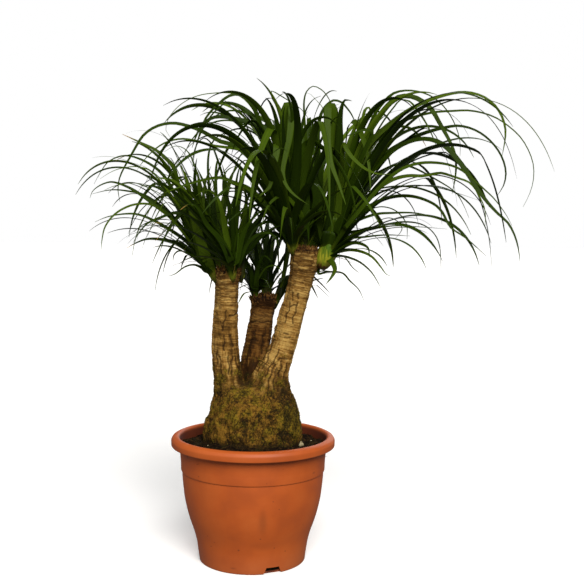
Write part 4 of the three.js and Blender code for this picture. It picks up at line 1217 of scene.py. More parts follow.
# What stands out on the side that faces the camera, in millimetres
barkMarks = {
    # cracks as lines of x, z
    "front": [
        [(-36.1, 335.5), (-37.4, 328.5), (-39.4, 320.1), (-40.8, 311.7)],
        [(-31.8, 328.3), (-27.7, 329.7), (-22.8, 331.5)], [(-43.8, 321.2), (-41.8, 313.4), (-41.1, 309.5)],
        [(-44.8, 275.3), (-43.3, 252.9)], [(-33.7, 276.7), (-31.6, 264.9), (-32.2, 250.3)],
        [(-27.8, 274.1), (-29, 262.3), (-27.6, 250.4)], [(-49.4, 280.5), (-48.6, 264.7)],
        [(-23.8, 271.5), (-18.5, 255.8)], [(-38.4, 302.9), (-39, 284.5)], [(-30.6, 304.3), (-27.9, 288.6)],
        [(51.1, 361.7), (50.6, 350.6)], [(58.1, 360.4), (58.8, 353.5)],
        [(56.8, 347.9), (56, 336.8), (52.2, 329.8), (51.2, 320)], [(45.8, 343.6), (56.2, 344.4)],
        [(47.1, 347.8), (45.9, 338.1), (42.5, 332.5), (40.5, 322.7)], [(39.3, 307.4), (45.2, 306.8)],
        [(41.3, 301.6), (47.8, 302.3)], [(29.4, 322.4), (25.7, 298.8), (20.6, 285.6), (10.3, 272.3),
         (0, 261.7), (-9.1, 248.4)], [(34.3, 285.7), (29.8, 276.5), (26, 268.6), (19.5, 261.9),
         (15.7, 250)], [(20.7, 281.6), (16.9, 269.8), (10.4, 259.2)],
        [(28.6, 267.3), (24.8, 256.7), (21, 247.5), (19.8, 235.6)], [(31.3, 262.1), (28.8, 251.5),
         (27.6, 240.9), (28.3, 234.4)], [(37.7, 270), (36.6, 259.5), (34, 251.6)],
        [(33.8, 273.3), (44.2, 274)], [(45, 267.5), (43.1, 256.9), (40.6, 246.4)]],
    "middle": [
        [(-0.2, 307.2), (-0.7, 292.3)], [(14.6, 310.1), (14, 299.3)],
        [(11.4, 297.9), (10.9, 280.3), (8.9, 274.8)], [(-7.4, 281.4), (-6.6, 270.6)],
        [(-7.5, 292.9), (3.3, 293.7)], [(-9, 317.7), (5.8, 318.4), (22, 317)],
        [(-1.9, 269.3), (-0.4, 255.7)]],
    # darker and paler places, partly the bark's own tone and partly painted light and shade (the dark crotch
    # and middle stem top, the darker right side of the foot, the lit left side): x, z, how wide, how high,
    # how much
    "toneAndLightSpots": [
        (-35.7, 380, 13.3, 5.3, -0.35), (-35.6, 363.3, 14.6, 6.7, 0.25), (-35.5, 349.4, 14.6, 5.3, 0.12),
        (-38.5, 308.2, 17.3, 9.3, -0.4), (-38.9, 271.4, 6.7, 9.3, 0.5), (-35.5, 255.6, 6.7, 5.3, 0.35),
        (-43.6, 289.7, 12, 8, -0.15), (47.7, 317.3, 16, 10.6, 0.25), (40.1, 296.3, 13.3, 14.6, 0.3),
        (23.4, 275.4, 5.3, 13.3, 0.3), (23.9, 245.1, 4, 9.3, 0.45), (63.9, 392.3, 16, 12, -0.2),
        (50.8, 332.6, 18.6, 12, -0.12), (41.7, 265.1, 9.3, 12, 0.1), (39.8, 233, 9.3, 8, -0.55),
        (39.2, 176.6, 10.6, 9.3, -0.5), (-18, 169.5, 16, 6.7, -0.5), (9.7, 202, 5.3, 2.9, -0.7),
        (22.4, 200.8, 4, 2.4, -0.6), (32.4, 208.1, 4, 2.7, -0.5), (-38.8, 193.1, 4, 4, -0.5),
        (-46.6, 226.4, 6.7, 4, -0.5), (-12, 242, 9, 6, -1.3), (-14, 248, 8, 7, -1),
        (-17.2, 207.7, 3.3, 3.3, 0.5), (2, 206.8, 4, 8, 0.4), (17.2, 209.6, 4, 6.7, 0.3),
        (8.6, 188, 4, 6.7, 0.25), (-48.2, 204.9, 5.3, 12, 0.2), (-13, 258, 5, 14, -0.9),
        (22, 296, 3, 18, -0.6), (8, 274, 4, 12, -0.5), (50, 205, 12, 30, -0.35), (-42, 186, 20, 26, 0.4),
        (-4, 190, 14, 16, -0.15), (-36.5, 322, 18, 15, -0.38), (-44, 262, 5, 22, -0.3)],
    "middleToneAndLightSpots": [
        (12, 345, 24, 8, -1.3), (6, 321, 20, 9, 0.55), (5, 284, 16, 12, -0.45),
        (6, 300.5, 16, 16, -0.3), (-0.6, 276.1, 8, 10.6, 0.15), (-8, 251, 18, 15, -1.1)],
    "moss": [
        (-44.5, 242.5, 8, 10.6, 0.45), (11.2, 244, 5.3, 8, 0.35), (-20.4, 229.4, 9.3, 8, 0.35),
        (-3.7, 229.6, 6.7, 5.3, 0.3), (50.3, 199.6, 13.3, 16, 0.5), (-25.9, 198.8, 14.6, 10.6, 0.35),
        (55.6, 186.7, 9.3, 12, 0.35), (10.5, 265.2, 5.3, 8, 0.35), (25.1, 184.6, 8, 6.7, 0.35),
        (-44.9, 300.2, 6.7, 6.7, 0.15)],
    "crackWidth": 1.6,
    "reach": {"front": 8, "footTop": 246, "middle": 40, "middleFrom": 235},
    "wander": (0.75, 0.4, 0.17),
}


def nearLines(flat, lines):
    # how far points x, z are from the nearest of some lines
    nearest = np.full(len(flat), 1e9)
    for line in lines:
        for start, end in zip(line[:-1], line[1:]):
            start, way = np.array(start, float), np.subtract(end, start)
            part = np.clip((flat - start) @ way / (way @ way), 0, 1)
            nearest = np.minimum(nearest, np.linalg.norm(flat - start - part[:, None] * way, axis=1))
    return nearest


def spotted(flat, rows):
    # soft round places, each with its amount
    total = np.zeros(len(flat))
    for x, z, wide, high, amount in rows:
        total += amount * np.exp(-((flat[:, 0] - x) / wide)**2 - ((flat[:, 1] - z) / high)**2)
    return total


def barkAttributes(mesh):
    # gives the bark its grain: object millimetres on the foot, and round and along each stem above
    count = len(mesh.vertices)
    places = np.empty(count * 3, dtype=np.float32)
    mesh.vertices.foreach_get("co", places)
    places = places.reshape(-1, 3).astype(float) / mm
    best = np.full(count, 1e9)
    grain, which, upward = np.zeros((count, 3)), np.zeros(count), np.zeros(count)
    for number, key in enumerate(("left", "right", "middle")):
        line = np.array(curveThrough(trunkForm[key], 12))
        middle, girth = line[:, :3], line[:, 3]
        along = np.gradient(middle, axis=0)
        along /= np.linalg.norm(along, axis=1)[:, None]
        lengths = np.concatenate([[0], np.cumsum(np.linalg.norm(np.diff(middle, axis=0), axis=1))])
        base = trunkForm["stemFrom"]
        for start in range(0, count, trunkForm["block"]):
            block = places[start:start + trunkForm["block"]]
            gap = np.linalg.norm(block[:, None, :] - middle[None], axis=2)
            near = np.argmin(gap, axis=1)
            share = gap[np.arange(len(block)), near] / girth[near]
            offset = block - middle[near]
            rise = np.sum(offset * along[near], axis=1)
            offset -= rise[:, None] * along[near]
            stemPlace = offset + [middle[base][0], middle[base][1], 0]
            stemPlace[:, 2] = middle[base][2] + lengths[near] - lengths[base] + rise
            closer = share < best[start:start + len(block)]
            target = np.arange(start, start + len(block))[closer]
            best[target] = share[closer]
            grain[target] = stemPlace[closer]
            which[target] = number
            upward[target] = trunkForm["stemTop"][key] - block[closer][:, 2]
    share = smoothStep(places[:, 2], trunkForm["blendLow"], trunkForm["blendHigh"])
    grain = places * (1 - share[:, None]) + grain * share[:, None]
    # the marks are drawn on the front only, those of the middle stem on that stem
    reach, stems = barkMarks["reach"], which == 2
    facesFront = (places[:, 1] < reach["front"]) & (~stems | (places[:, 2] < reach["footTop"]))
    isMiddle = (places[:, 1] < reach["middle"]) & stems & (places[:, 2] > reach["middleFrom"])
    # a little wander, so no line is quite straight
    wander, across, along = barkMarks["wander"]
    flat = places[:, [0, 2]] + wander * np.sin(places[:, [2, 0]] * across + places[:, [0, 2]] * along)
    marks, shade, mossy = np.full(count, 1e9), np.zeros(count), np.zeros(count)
    marks[facesFront] = nearLines(flat[facesFront], barkMarks["front"])
    marks[isMiddle] = nearLines(flat[isMiddle], barkMarks["middle"])
    # painted light and shade together with the bark's own tone
    shade[facesFront] = spotted(flat[facesFront], barkMarks["toneAndLightSpots"])
    shade[isMiddle] = spotted(flat[isMiddle], barkMarks["middleToneAndLightSpots"])
    mossy[facesFront] = spotted(flat[facesFront], barkMarks["moss"])
    # cracks are uneven in width along their way
    width = 0.9 + 0.25 * np.sin(places[:, 2] * 0.9 + places[:, 0] * 0.31) * np.sin(places[:, 2] * 0.37)
    width *= barkMarks["crackWidth"]
    setAttribute(mesh, "markGap", np.minimum(marks / width, 4))
    setAttribute(mesh, "grain", grain, "FLOAT_VECTOR")
    for name, values in (("shade", shade), ("mossPlace", mossy), ("unmarked", ~(facesFront | isMiddle)),
                         ("stemShare", share), ("middleStem", share * stems), ("belowTop", upward)):
        setAttribute(mesh, name, values)


barkForm = {
    "ringHeight": 0.6,        # millimetres, ring scars of fallen leaves
    "ringSpacing": 2.6,
    "crackDepth": 1.6,
    "plateWidth": 10.5,       # between upright cracks
    "plateHeight": 62.0,
    "lumpHeight": 2.6,
    "grainHeight": 0.8,
}


def makeBarkTree():
    tree, given = newTree("barkRelief", {
        "Ring Height": barkForm["ringHeight"] * mm, "Ring Spacing": barkForm["ringSpacing"],
        "Crack Depth": barkForm["crackDepth"] * mm, "Plate Width": barkForm["plateWidth"],
        "Plate Height": barkForm["plateHeight"], "Lump Height": barkForm["lumpHeight"] * mm,
        "Grain Height": barkForm["grainHeight"] * mm, "Material": None})
    grain, onStem, belowTop, unmarked, markGap, mossPlace = [
        addNode(tree, "InputNamedAttribute", {"data_type": kind}, {"Name": name})
        for name, kind in (("grain", "FLOAT_VECTOR"), ("stemShare", "FLOAT"), ("belowTop", "FLOAT"),
                           ("unmarked", "FLOAT"), ("markGap", "FLOAT"), ("mossPlace", "FLOAT"))]
    # noises on the bark's own grain: how wide and high their spots are in millimetres, detail and roughness
    noises = {}
    for name, wide, high, detail, roughness in (
            ("rings", 34.0, given["Ring Spacing"], 1.5, 0.55), ("lumps", 12.0, 15.0, 4.0, 0.6),
            ("fine", 2.6, 2.2, 3.0, 0.65), ("mossy", 13.0, 13.0, 6.0, 0.8),
            ("noPlates", 9.0, 15.0, 1.0, 0.55), ("noSplits", 10.0, 7.0, 1.0, 0.55)):
        sizes = addNode(tree, "CombineXYZ", None, (wide, wide, high))
        place = addNode(tree, "VectorMath", {"operation": "DIVIDE"}, (grain, sizes))
        noises[name] = addNode(tree, "TexNoise", None, (place, 1.0, detail, roughness), "Fac")
    # upright cracks, short and nearly straight, and fewer level ones where bark has split along a ring scar
    wander = addNode(tree, "TexNoise", None, {"Vector": grain, "Scale": 0.09, "Detail": 2.0}, "Color")
    swayed = addNode(tree, "VectorMath", multiplyAdd, (wander, (5.0, 5.0, 5.0), grain))
    gaps = []
    for wide, high, where, low in ((given["Plate Width"], given["Plate Height"], "noPlates", 0.5),
                                   (31.0, 8.5, "noSplits", 0.58)):
        sizes = addNode(tree, "CombineXYZ", None, (wide, wide, high))
        place = addNode(tree, "VectorMath", {"operation": "DIVIDE"}, (swayed, sizes))
        plates = addNode(tree, "TexVoronoi", {"feature": "DISTANCE_TO_EDGE"}, (place, 1.0), "Distance")
        nowhere = addNode(tree, "MapRange", eased, (noises[where], low, low + 0.08, 1.0, 0.0))
        gaps.append(addNode(tree, "Math", multiplyAdd, (plates, 11.0, nowhere)))
    wild = addNode(tree, "Math", least, gaps)
    for value, low, high, start, end in ((onStem, 0.2, 1.0, 1.0, 0.0), (belowTop, 22.0, 50.0, 0.75, 0.0),
                                         (unmarked, 0.0, 1.0, 1.0, 0.0)):
        away = addNode(tree, "MapRange", eased, (value, low, high, start, end))
        wild = addNode(tree, "Math", add, (wild, away))
    crackGap = addNode(tree, "Math", least, (wild, markGap))
    # lumps and grit all over, rings only on the stems
    lumpShare = addNode(tree, "Math", multiplyAdd, (onStem, -0.6, 1.0))
    lift = 0.0
    for name, low, high, start, end, share, size in (
            ("rings", 0.3, 0.7, -0.5, 0.5, onStem, "Ring Height"), ("lumps", 0.3, 0.65, -1.0, 0.1, lumpShare,
            "Lump Height"), ("fine", 0.25, 0.75, -0.5, 0.5, 1.0, "Grain Height")):
        wave = addNode(tree, "MapRange", eased, (noises[name], low, high, start, end))
        wave = addNode(tree, "Math", multiply, (wave, share))
        lift = addNode(tree, "Math", multiplyAdd, (wave, given[size], lift))
    crackShare = addNode(tree, "MapRange", eased, (crackGap, 0.2, 1.0, 1.0, 0.0))
    deep = addNode(tree, "Math", multiply, (crackShare, given["Crack Depth"]))
    lift = addNode(tree, "Math", subtract, (lift, deep))
    normal = addNode(tree, "InputNormal")
    offset = addNode(tree, "VectorMath", scaled, {"Vector": normal, "Scale": lift})
    # moss grows thickest low on the foot and thins out up the stems
    height = addNode(tree, "SeparateXYZ", None, (grain,), "Z")
    lowDown = addNode(tree, "MapRange", eased, (height, 240.0, 330.0, 0.03, -0.16))
    mossy = addNode(tree, "Math", multiplyAdd, (mossPlace, 0.3, noises["mossy"]))
    mossy = addNode(tree, "Math", add, (mossy, lowDown))
    moss = addNode(tree, "MapRange", eased, (mossy, 0.48, 0.66, 0.0, 1.0))
    moved = addNode(tree, "SetPosition", None, {"Geometry": given["Geometry"], "Offset": offset})
    for name, value in (("crackGap", crackGap), ("ring", noises["rings"]), ("moss", moss),
                        ("lump", noises["lumps"])):
        moved = addNode(tree, "StoreNamedAttribute", None,
                        {"Geometry": moved, "Name": name, "Value": value})
    finishTree(tree, moved, given["Material"])
    return tree


barkColours = {
    "crack": "#2D1C0A",
    "scar": "#38200E",
    "dark": "#47300F",
    "mid": "#785522",
    "light": "#997236",
    "pale": "#BC9752",
    "footDark": "#1A1103",
    "footMid": "#452F09",
    "footLight": "#7D5A1C",
    "mossDark": "#1E1A04",
    "mossMid": "#4A3B08",
    "mossLight": "#776416",
    "middleTint": "#9C7F5C",
    "top": "#251910",
    # painted shade low on the foot where it meets the peat
    "footBaseShade": "#120C04",
}


def makeBarkMaterial():
    # corky bark: dry and matt, pale ring scars, dark cracks between plates, olive film of moss
    material, tree = newMaterial("corkyBark")
    shade, ring, belowTop, onStem, lump, moss, crackGap, middleStem = [
        addNode(tree, "Attribute", {"attribute_name": name}, output="Fac")
        for name in ("shade", "ring", "belowTop", "stemShare", "lump", "moss", "crackGap", "middleStem")]
    grain = addNode(tree, "Attribute", {"attribute_name": "grain"}, output="Vector")
    height = addNode(tree, "SeparateXYZ", None, (grain,), "Z")
    # noises on the bark's grain: width, depth and height of their spots in millimetres, detail and roughness
    noises = {}
    for name, *sizes, detail, roughness in (
            ("rings", 26, 26, 1.5, 1.0, 0.55), ("blotch", 13, 13, 9, 4.0, 0.65),
            ("grime", 2.4, 2.4, 3.2, 4.0, 0.75), ("flutes", 7, 7, 42, 3.0, 0.6),
            ("stray", 9, 9, 9, 1.0, 0.55), ("speckle", 2.6, 2.6, 3.4, 5.0, 0.85),
            ("grit", 0.9, 0.9, 0.9, 4.0, 0.7)):
        place = addNode(tree, "Mapping", None, {"Vector": grain, "Scale": tuple(1 / size for size in sizes)})
        noises[name] = addNode(tree, "TexNoise", None, (place, 1.0, detail, roughness), "Fac")
    # scars of fallen leaves: flat lens shapes about 16 mm long and 3 mm high, plainest near the tops
    place = addNode(tree, "Mapping", None, {"Vector": grain, "Scale": (1 / 16, 1 / 16, 1 / 2.9)})
    place = addNode(tree, "VectorMath", add, (place, noises["stray"]))
    scar = addNode(tree, "TexVoronoi", {"feature": "DISTANCE_TO_EDGE"}, (place, 1.0), "Distance")
    lens = addNode(tree, "TexVoronoi", {"feature": "F1"}, (place, 1.0), "Color")
    young = addNode(tree, "MapRange", eased, (belowTop, 15.0, 90.0, 1.0, 0.2))
    lensTone = addNode(tree, "Math", subtract, (lens, 0.5))
    scarLine = addNode(tree, "MapRange", eased, (scar, 0.02, 0.2, 0.62, 0.0))
    lensTone, scarLine = [addNode(tree, "Math", multiply, (value, young)) for value in (lensTone, scarLine)]
    # upright runs of dirt low on the stems
    flutes = addNode(tree, "Math", subtract, (noises["flutes"], 0.56))
    lowDown = addNode(tree, "MapRange", eased, (height, 345.0, 245.0, 0.0, 1.0))
    runs = addNode(tree, "Math", multiply, (flutes, lowDown))
    # how pale the stems are: fine ring lines about 3 mm apart on blotches a few centimetres wide, with the
    # spots of tone and painted light and shade
    lines = addNode(tree, "Math", multiplyAdd, (ring, 0.5, noises["rings"]))
    level = 0.0
    for value, share in ((noises["grime"], 0.5), (lines, 0.7), (noises["blotch"], 0.9), (shade, 0.4),
                         (runs, 2.2), (lensTone, 0.5)):
        level = addNode(tree, "Math", multiplyAdd, (value, share, level))
    level = addNode(tree, "MapRange", eased, (level, 0.62, 1.62, 0.0, 1.0))
    stemTone = addNode(tree, "ValToRGB", {"stops": [
        (0.08, barkColours["dark"]), (0.36, barkColours["mid"]), (0.62, barkColours["light"]),
        (0.92, barkColours["pale"])]}, (level,))
    stemTone = addNode(tree, "Mix", ofColours, (scarLine, stemTone, barkColours["scar"]))
    # how pale the foot is, darker where its lumps sink as painted shade in the crevices, with the spots of
    # tone and painted light, and its moss
    footLevel = -0.35
    for value, share in ((noises["speckle"], 1.7), (noises["blotch"], 0.45),
                         (addNode(tree, "Math", subtract, (lump, 0.5)), 0.7), (shade, 0.3)):
        footLevel = addNode(tree, "Math", multiplyAdd, (value, share, footLevel))
    footTone, mossTone = [
        addNode(tree, "ValToRGB", {"stops": [
            (0.54, barkColours[kind + "Dark"]), (0.7, barkColours[kind + "Mid"]),
            (pale, barkColours[kind + "Light"])]}, (footLevel,))
        for kind, pale in (("foot", 0.9), ("moss", 0.88))]
    tone = addNode(tree, "Mix", ofColours, (onStem, footTone, stemTone))
    # the middle stem's tint, moss, cracks, the stems' dark tops, and painted shade low on the foot where it
    # meets the peat
    baseShadeLine = addNode(tree, "Math", multiplyAdd, (noises["speckle"], -14.0, height))
    for value, *limits, cover, blend in (
            (middleStem, 0.0, 1.0, 0.0, 0.75, barkColours["middleTint"], "MULTIPLY"),
            (moss, 0.0, 1.0, 0.0, 0.8, mossTone, "MIX"),
            (crackGap, 0.1, 1.3, 0.86, 0.0, barkColours["crack"], "MIX"),
            (belowTop, 0.0, 5.0, 0.9, 0.0, barkColours["top"], "MIX"),
            (baseShadeLine, 154.0, 162.0, 0.8, 0.0, barkColours["footBaseShade"], "MIX")):
        share = addNode(tree, "MapRange", eased, (value, *limits))
        tone = addNode(tree, "Mix", {**ofColours, "blend_type": blend}, (share, tone, cover))
    grit = addNode(tree, "Math", add, (noises["grit"], lines))
    grit = addNode(tree, "Math", multiplyAdd, (scarLine, -1.0, grit))
    bump = addNode(tree, "Bump", None, {"Height": grit, "Strength": 0.75, "Distance": 0.0008})
    finishMaterial(tree, {"Base Color": tone, "Normal": bump, "Roughness": 0.88, "Specular IOR Level": 0.12})
    return material


def makeTrunk():
    lofts = [loftPart("foot", trunkForm["foot"], trunkForm["footRelief"], 10)]
    lofts += [loftPart(key, trunkForm[key], trunkForm["stemRelief"], 10)
              for key in ("left", "right", "middle")]
    trunk = joined("trunk_bark", lofts)
    remesh = trunk.modifiers.new("grownTogether", "REMESH")
    remesh.mode, remesh.voxel_size = "VOXEL", trunkForm["voxel"] * mm
    workIn(trunk)
    join = trunk.vertex_groups.new(name="join")
    body = trunk.vertex_groups.new(name="body")
    low, high = trunkForm["joinLow"], trunkForm["joinHigh"]
    for vertex in trunk.data.vertices:
        z = vertex.co.z / mm
        weight = 1 - abs(2 * (z - low) / (high - low) - 1)
        if weight > 0:
            join.add([vertex.index], min(1, weight * trunkForm["joinWeight"]), "REPLACE")
        body.add([vertex.index], 1, "REPLACE")
    for group, rounds in (("body", trunkForm["bodySmoothing"]), ("join", trunkForm["joinSmoothing"])):
        smoothing = trunk.modifiers.new(group, "SMOOTH")
        smoothing.factor, smoothing.iterations, smoothing.vertex_group = 0.5, rounds, group
    workIn(trunk)
    trunk.vertex_groups.clear()
    barkAttributes(trunk.data)
    trunk.data.shade_smooth()
    runTree(trunk, makeBarkTree(), {"Material": makeBarkMaterial()})
    return trunk


trunk = makeTrunk()
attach(trunk, "root")
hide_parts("trunk")
print("trunk made:", len(trunk.data.polygons), "faces")


# Moss, husks and grit: small loose bits whose finishes differ in colour, grain and gloss

looseLook = {
    # moss: tiny damp leaves that scatter light softly, olive with straw-coloured tips
    "cushionMoss": {"grain": 240.0, "bump": (0.4, 0.0005), "roughness": 0.95, "gloss": 0.1, "stops": [
        (0.3, "#211D05"), (0.48, "#443A0A"), (0.62, "#73691A"), (0.75, "#6A4E1E")]},
    # dead leaf bases: papery brown fibre, pale and frayed at the ends
    "dryHusk": {"grain": 320.0, "bump": (0.4, 0.0004), "roughness": 0.85, "gloss": 0.15, "stops": [
        (0.35, "#22150A"), (0.5, "#5A3A18"), (0.68, "#9A7238")]},
    # limestone grit: chalky, matt and uneven, the palest thing in the pot
    "chalkyGrit": {"grain": 700.0, "bump": (0.0, 0.0004), "roughness": 0.9, "gloss": 0.5, "stops": [
        (0.35, "#5E5034"), (0.65, "#C4B78E")]},
}


def makeLooseMaterial(name):
    look = looseLook[name]
    material, tree = newMaterial(name)
    place = addNode(tree, "TexCoord", output="Object")
    patch = addNode(tree, "TexNoise", None, (place, look["grain"], 3.0), "Fac")
    colour = addNode(tree, "ValToRGB", {"stops": look["stops"]}, (patch,))
    strength, distance = look["bump"]
    bump = addNode(tree, "Bump", None, {"Height": patch, "Strength": strength, "Distance": distance})
    finishMaterial(tree, {"Base Color": colour, "Normal": bump, "Roughness": look["roughness"],
                          "Specular IOR Level": look["gloss"]})
    return material


mossForm = {
    "tufts": 150000.0,        # per square metre where moss is thickest
    "cushions": 50000.0,
    "from": (0.150, 0.158),   # metres: none grows below the peat
}


def makeMossTree():
    tree, given = newTree("mossGrowth", {"Tufts": mossForm["tufts"], "Cushions": mossForm["cushions"],
                                         "Material": None})
    moss = addNode(tree, "InputNamedAttribute", None, {"Name": "moss"})
    height = addNode(tree, "SeparateXYZ", None, (addNode(tree, "InputPosition"),), "Z")
    above = addNode(tree, "MapRange", None, (height, *mossForm["from"]))
    share = addNode(tree, "Math", multiply, (moss, above))
    parts = []
    for label, seed, kind, bitSizes, sizes in (
            ("Tufts", 5, "MeshCone",
             {"Vertices": 3, "Radius Bottom": 0.3 * mm, "Depth": 1.6 * mm},
             ((0.5, 0.5, 0.5), (1.3, 1.3, 1.3))),
            ("Cushions", 9, "MeshIcoSphere", {"Radius": 0.8 * mm, "Subdivisions": 1},
             ((0.5, 0.5, 0.25), (1.3, 1.3, 0.7)))):
        density = addNode(tree, "Math", multiply, (share, given[label]))
        bit = addNode(tree, kind, None, bitSizes, "Mesh")
        parts.append(scatter(tree, given["Geometry"], density, bit, seed, sizes,
                             ((-0.7, -0.7, -3.1), (0.7, 0.7, 3.1)), upright=True))
    finishTree(tree, addNode(tree, "JoinGeometry", None, (parts,)), given["Material"])
    return tree


moss = newObject("moss", trunk.data.copy())
runTree(moss, makeMossTree(), {"Material": makeLooseMaterial("cushionMoss")})
moss.data.shade_smooth()
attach(moss, "root")
print("moss made:", len(moss.data.polygons), "faces")

# Husks: dry stumps of fallen leaves round the tops of the stems
huskForm = {
    "perSquareMetre": 110000.0,
    "reach": 9.0,             # millimetres below a stem's top
    "width": 1.5,
    "length": 6.5,
    "splay": 0.42,            # how far they lean outwards
}


def makeHuskTree():
    tree, given = newTree("huskGrowth", {
        "Density": huskForm["perSquareMetre"], "Reach": huskForm["reach"], "Width": huskForm["width"] * mm,
        "Length": huskForm["length"] * mm, "Splay": huskForm["splay"], "Material": None})
    belowTop, onStem = [
        addNode(tree, "InputNamedAttribute", None, {"Name": name})
        for name in ("belowTop", "stemShare")]
    near = addNode(tree, "MapRange", None, (belowTop, given["Reach"], 1.0))
    share = addNode(tree, "Math", multiply, (near, onStem))
    density = addNode(tree, "Math", multiply, (share, given["Density"]))
    spread = addNode(tree, "DistributePointsOnFaces", None,
                     {"Mesh": given["Geometry"], "Density": density, "Seed": 7}).node.outputs
    flake = addNode(tree, "MeshCone", None, {
        "Vertices": 5, "Side Segments": 2, "Radius Top": 0.1 * mm, "Radius Bottom": given["Width"],
        "Depth": given["Length"]}, "Mesh")
    outward = addNode(tree, "VectorMath", scaled, {"Vector": spread["Normal"], "Scale": given["Splay"]})
    stray = addNode(tree, "RandomValue", ofVectors,
                    {"Min": (-0.3, -0.3, 0.75), "Max": (0.3, 0.3, 1.0), "Seed": 3})
    way = addNode(tree, "VectorMath", add, (outward, stray))
    turn = addNode(tree, "AlignEulerToVector", {"axis": "Z"}, {"Vector": way})
    size = addNode(tree, "RandomValue", ofVectors,
                   {"Min": (0.6, 0.25, 0.5), "Max": (1.2, 0.4, 1.15), "Seed": 5})
    placed = addNode(tree, "InstanceOnPoints", None,
                     {"Points": spread["Points"], "Instance": flake, "Rotation": turn, "Scale": size})
    finishTree(tree, placed, given["Material"])
    return tree


husks = newObject("husks", trunk.data.copy())
runTree(husks, makeHuskTree(), {"Material": makeLooseMaterial("dryHusk")})
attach(husks, "root")
print("husks made:", len(husks.data.polygons), "faces")


# Peat: a bumpy filling with crumbs on it

peatForm = {
    "gap": 0.35,
    "bottom": 3.35,
    "edge": 96.1,
    "level": 156.5,
    "edgeLevel": 154.5,
    # height, how fast they run to the right and to the back, and start
    "waves": [(0.9, 0.061, 0.073, 0.9), (0.9, 0.061, -0.073, 1.7), (1.2, 0.19, -0.13, 0),
              (0.8, 0.11, 0.23, 3.57)],
    "heap": 5.5,              # how much higher it lies against the foot
    "footRadius": 56, "heapReach": 8,
    "sinkFrom": 84, "sinkReach": 12,               # where it falls towards the pot's wall
    "segments": 260,
    "ringStep": 1.5,
    "hiddenRadius": 46,
    "hiddenRings": [36, 24, 12],
    "clodHeight": 4.0,
    "crumbs": 150000.0,       # per square metre
    "fibres": 26000.0,
}
peatColours = {"dark": "#0A0603", "mid": "#1A1006", "light": "#4A3518", "moss": "#26240A"}


def makePeatMaterial():
    # peat: crumbly dead moss and bark dust that swallows light, with paler fibres and greenish film
    material, tree = newMaterial("crumblyPeat")
    place = addNode(tree, "TexCoord", output="Object")
    clods = addNode(tree, "TexNoise", None, (place, 190.0, 5.0, 0.7), "Fac")
    colour = addNode(tree, "ValToRGB", {"stops": [
        (0.35, peatColours["dark"]), (0.52, peatColours["mid"]), (0.72, peatColours["light"])]}, (clods,))
    film = addNode(tree, "TexNoise", None, (place, 45.0, 3.0), "Fac")
    green = addNode(tree, "MapRange", None, (film, 0.55, 0.7, 0.0, 0.6))
    colour = addNode(tree, "Mix", ofColours, (green, colour, peatColours["moss"]))
    bump = addNode(tree, "Bump", None, {"Height": clods, "Strength": 0.8, "Distance": 0.0015})
    finishMaterial(tree, {"Base Color": colour, "Normal": bump, "Roughness": 0.97,
                          "Specular IOR Level": 0.08})
    return material


def makePeatTree():
    tree, given = newTree("peatCrumbs", {
        "Clod Height": peatForm["clodHeight"] * mm, "Crumbs": peatForm["crumbs"],
        "Fibres": peatForm["fibres"], "Material": None})
    place = addNode(tree, "InputPosition")
    upper = addNode(tree, "InputNamedAttribute", None, {"Name": "upper"})
    clods = addNode(tree, "TexNoise", None, (place, 120.0, 4.0, 0.6), "Fac")
    lift = addNode(tree, "Math", subtract, (clods, 0.5))
    for share in (given["Clod Height"], upper):
        lift = addNode(tree, "Math", multiply, (lift, share))
    offset = addNode(tree, "CombineXYZ", None, {"Z": lift})
    ground = addNode(tree, "SetPosition", None, {"Geometry": given["Geometry"], "Offset": offset})
    parts = [ground]
    for label, seed, kind, bitSizes, sizes, leans in (
            ("Crumbs", 21, "MeshIcoSphere", {"Radius": 1.0 * mm, "Subdivisions": 1},
             ((0.35, 0.35, 0.3), (1.5, 1.3, 1.1)), ((-3.0, -3.0, -3.0), (3.0, 3.0, 3.0))),
            ("Fibres", 33, "MeshCone",
             {"Vertices": 4, "Radius Bottom": 0.35 * mm, "Depth": 7.0 * mm},
             ((0.5, 0.5, 0.35), (1.0, 1.0, 1.3)), ((-1.9, -1.9, -3.0), (1.9, 1.9, 3.0)))):
        density = addNode(tree, "Math", multiply, (upper, given[label]))
        bit = addNode(tree, kind, None, bitSizes, "Mesh")
        parts.append(scatter(tree, ground, density, bit, seed, sizes, leans, upright=False))
    finishTree(tree, addNode(tree, "JoinGeometry", None, (parts,)), given["Material"])
    return tree


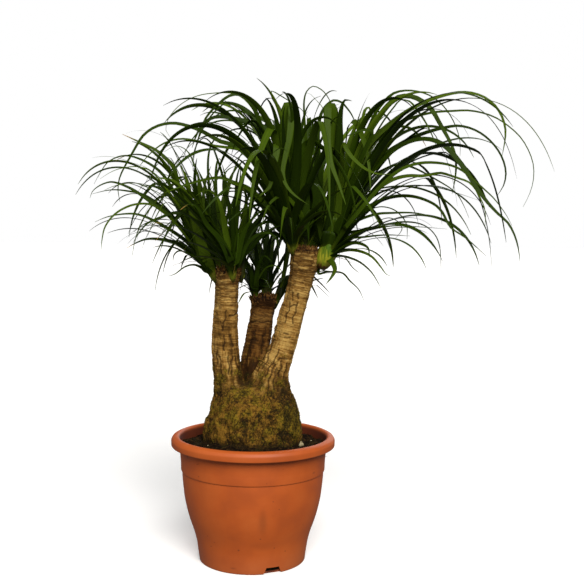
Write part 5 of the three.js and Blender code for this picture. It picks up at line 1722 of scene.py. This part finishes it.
def makePeat():
    inside = [(radius - peatForm["gap"], height) for radius, height in reversed(potForm["inside"])]
    rings = [peatForm["edge"]]
    while rings[-1] > peatForm["hiddenRadius"]:
        rings.append(rings[-1] - peatForm["ringStep"])
    outline = [(0, peatForm["bottom"])] + inside
    outline += [(radius, peatForm["level"]) for radius in (*rings, *peatForm["hiddenRings"], 0)]
    mesh = turnedMesh("peat_filling", outline, peatForm["segments"])
    upper = [vertex.co.z / mm > peatForm["edgeLevel"] for vertex in mesh.vertices]
    for vertex, isUpper in zip(mesh.vertices, upper):
        x, y, z = vertex.co / mm
        if isUpper:
            radius = math.hypot(x, y)
            wave = sum(height * math.sin(across * x + back * y + start)
                       for height, across, back, start in peatForm["waves"])
            sink = max(0, (radius - peatForm["sinkFrom"]) / peatForm["sinkReach"])
            sink *= peatForm["level"] - peatForm["edgeLevel"]
            away = max(0, radius - peatForm["footRadius"]) / peatForm["heapReach"]
            heap = peatForm["heap"] * math.exp(-away**2)
            vertex.co.z = (peatForm["level"] + wave + heap - sink) * mm
    setAttribute(mesh, "upper", upper)
    return runTree(newObject("peat_filling", mesh), makePeatTree(), {"Material": makePeatMaterial()})


peat = makePeat()
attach(peat, "root")
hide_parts("soil")
print("peat made:", len(peat.data.polygons), "faces")


# Chips: pale bits of stone that lie on the peat and in the crotch

chipForm = {
    # x, y, z and half sizes in millimetres, turn in degrees
    "rows": [(64.5, -25, 161.5, 3.0, 2.2, 3.6, 20), (-58, -34, 160, 1.0, 0.8, 0.6, 70),
             (-20, -12, 239, 3.0, 1.2, 0.9, 8), (78, 10, 158, 1.4, 1, 0.8, 120)],
    "dents": 0.18,
    "narrowing": 0.5,         # towards the top
}


def makeChips():
    shape = bmesh.new()
    for x, y, z, *sizes, turn in chipForm["rows"]:
        spin = Matrix.Rotation(math.radians(turn), 4, "Z")
        for vertex in bmesh.ops.create_icosphere(shape, subdivisions=2, radius=1)["verts"]:
            wave = math.sin(4.1 * vertex.co.x + turn) * math.sin(3.7 * vertex.co.y + 2.9 * vertex.co.z)
            dent = 1 + chipForm["dents"] * wave
            spot = Vector([part * size * dent * mm for part, size in zip(vertex.co, sizes)])
            spot.x *= 1 - chipForm["narrowing"] * vertex.co.z
            vertex.co = spin @ spot + Vector((x, y, z)) * mm
    mesh = bpy.data.meshes.new("chips")
    shape.to_mesh(mesh)
    shape.free()
    mesh.materials.append(makeLooseMaterial("chalkyGrit"))
    return newObject("chips", mesh)


chips = makeChips()
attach(chips, "root")
print("chips made")


# Finish
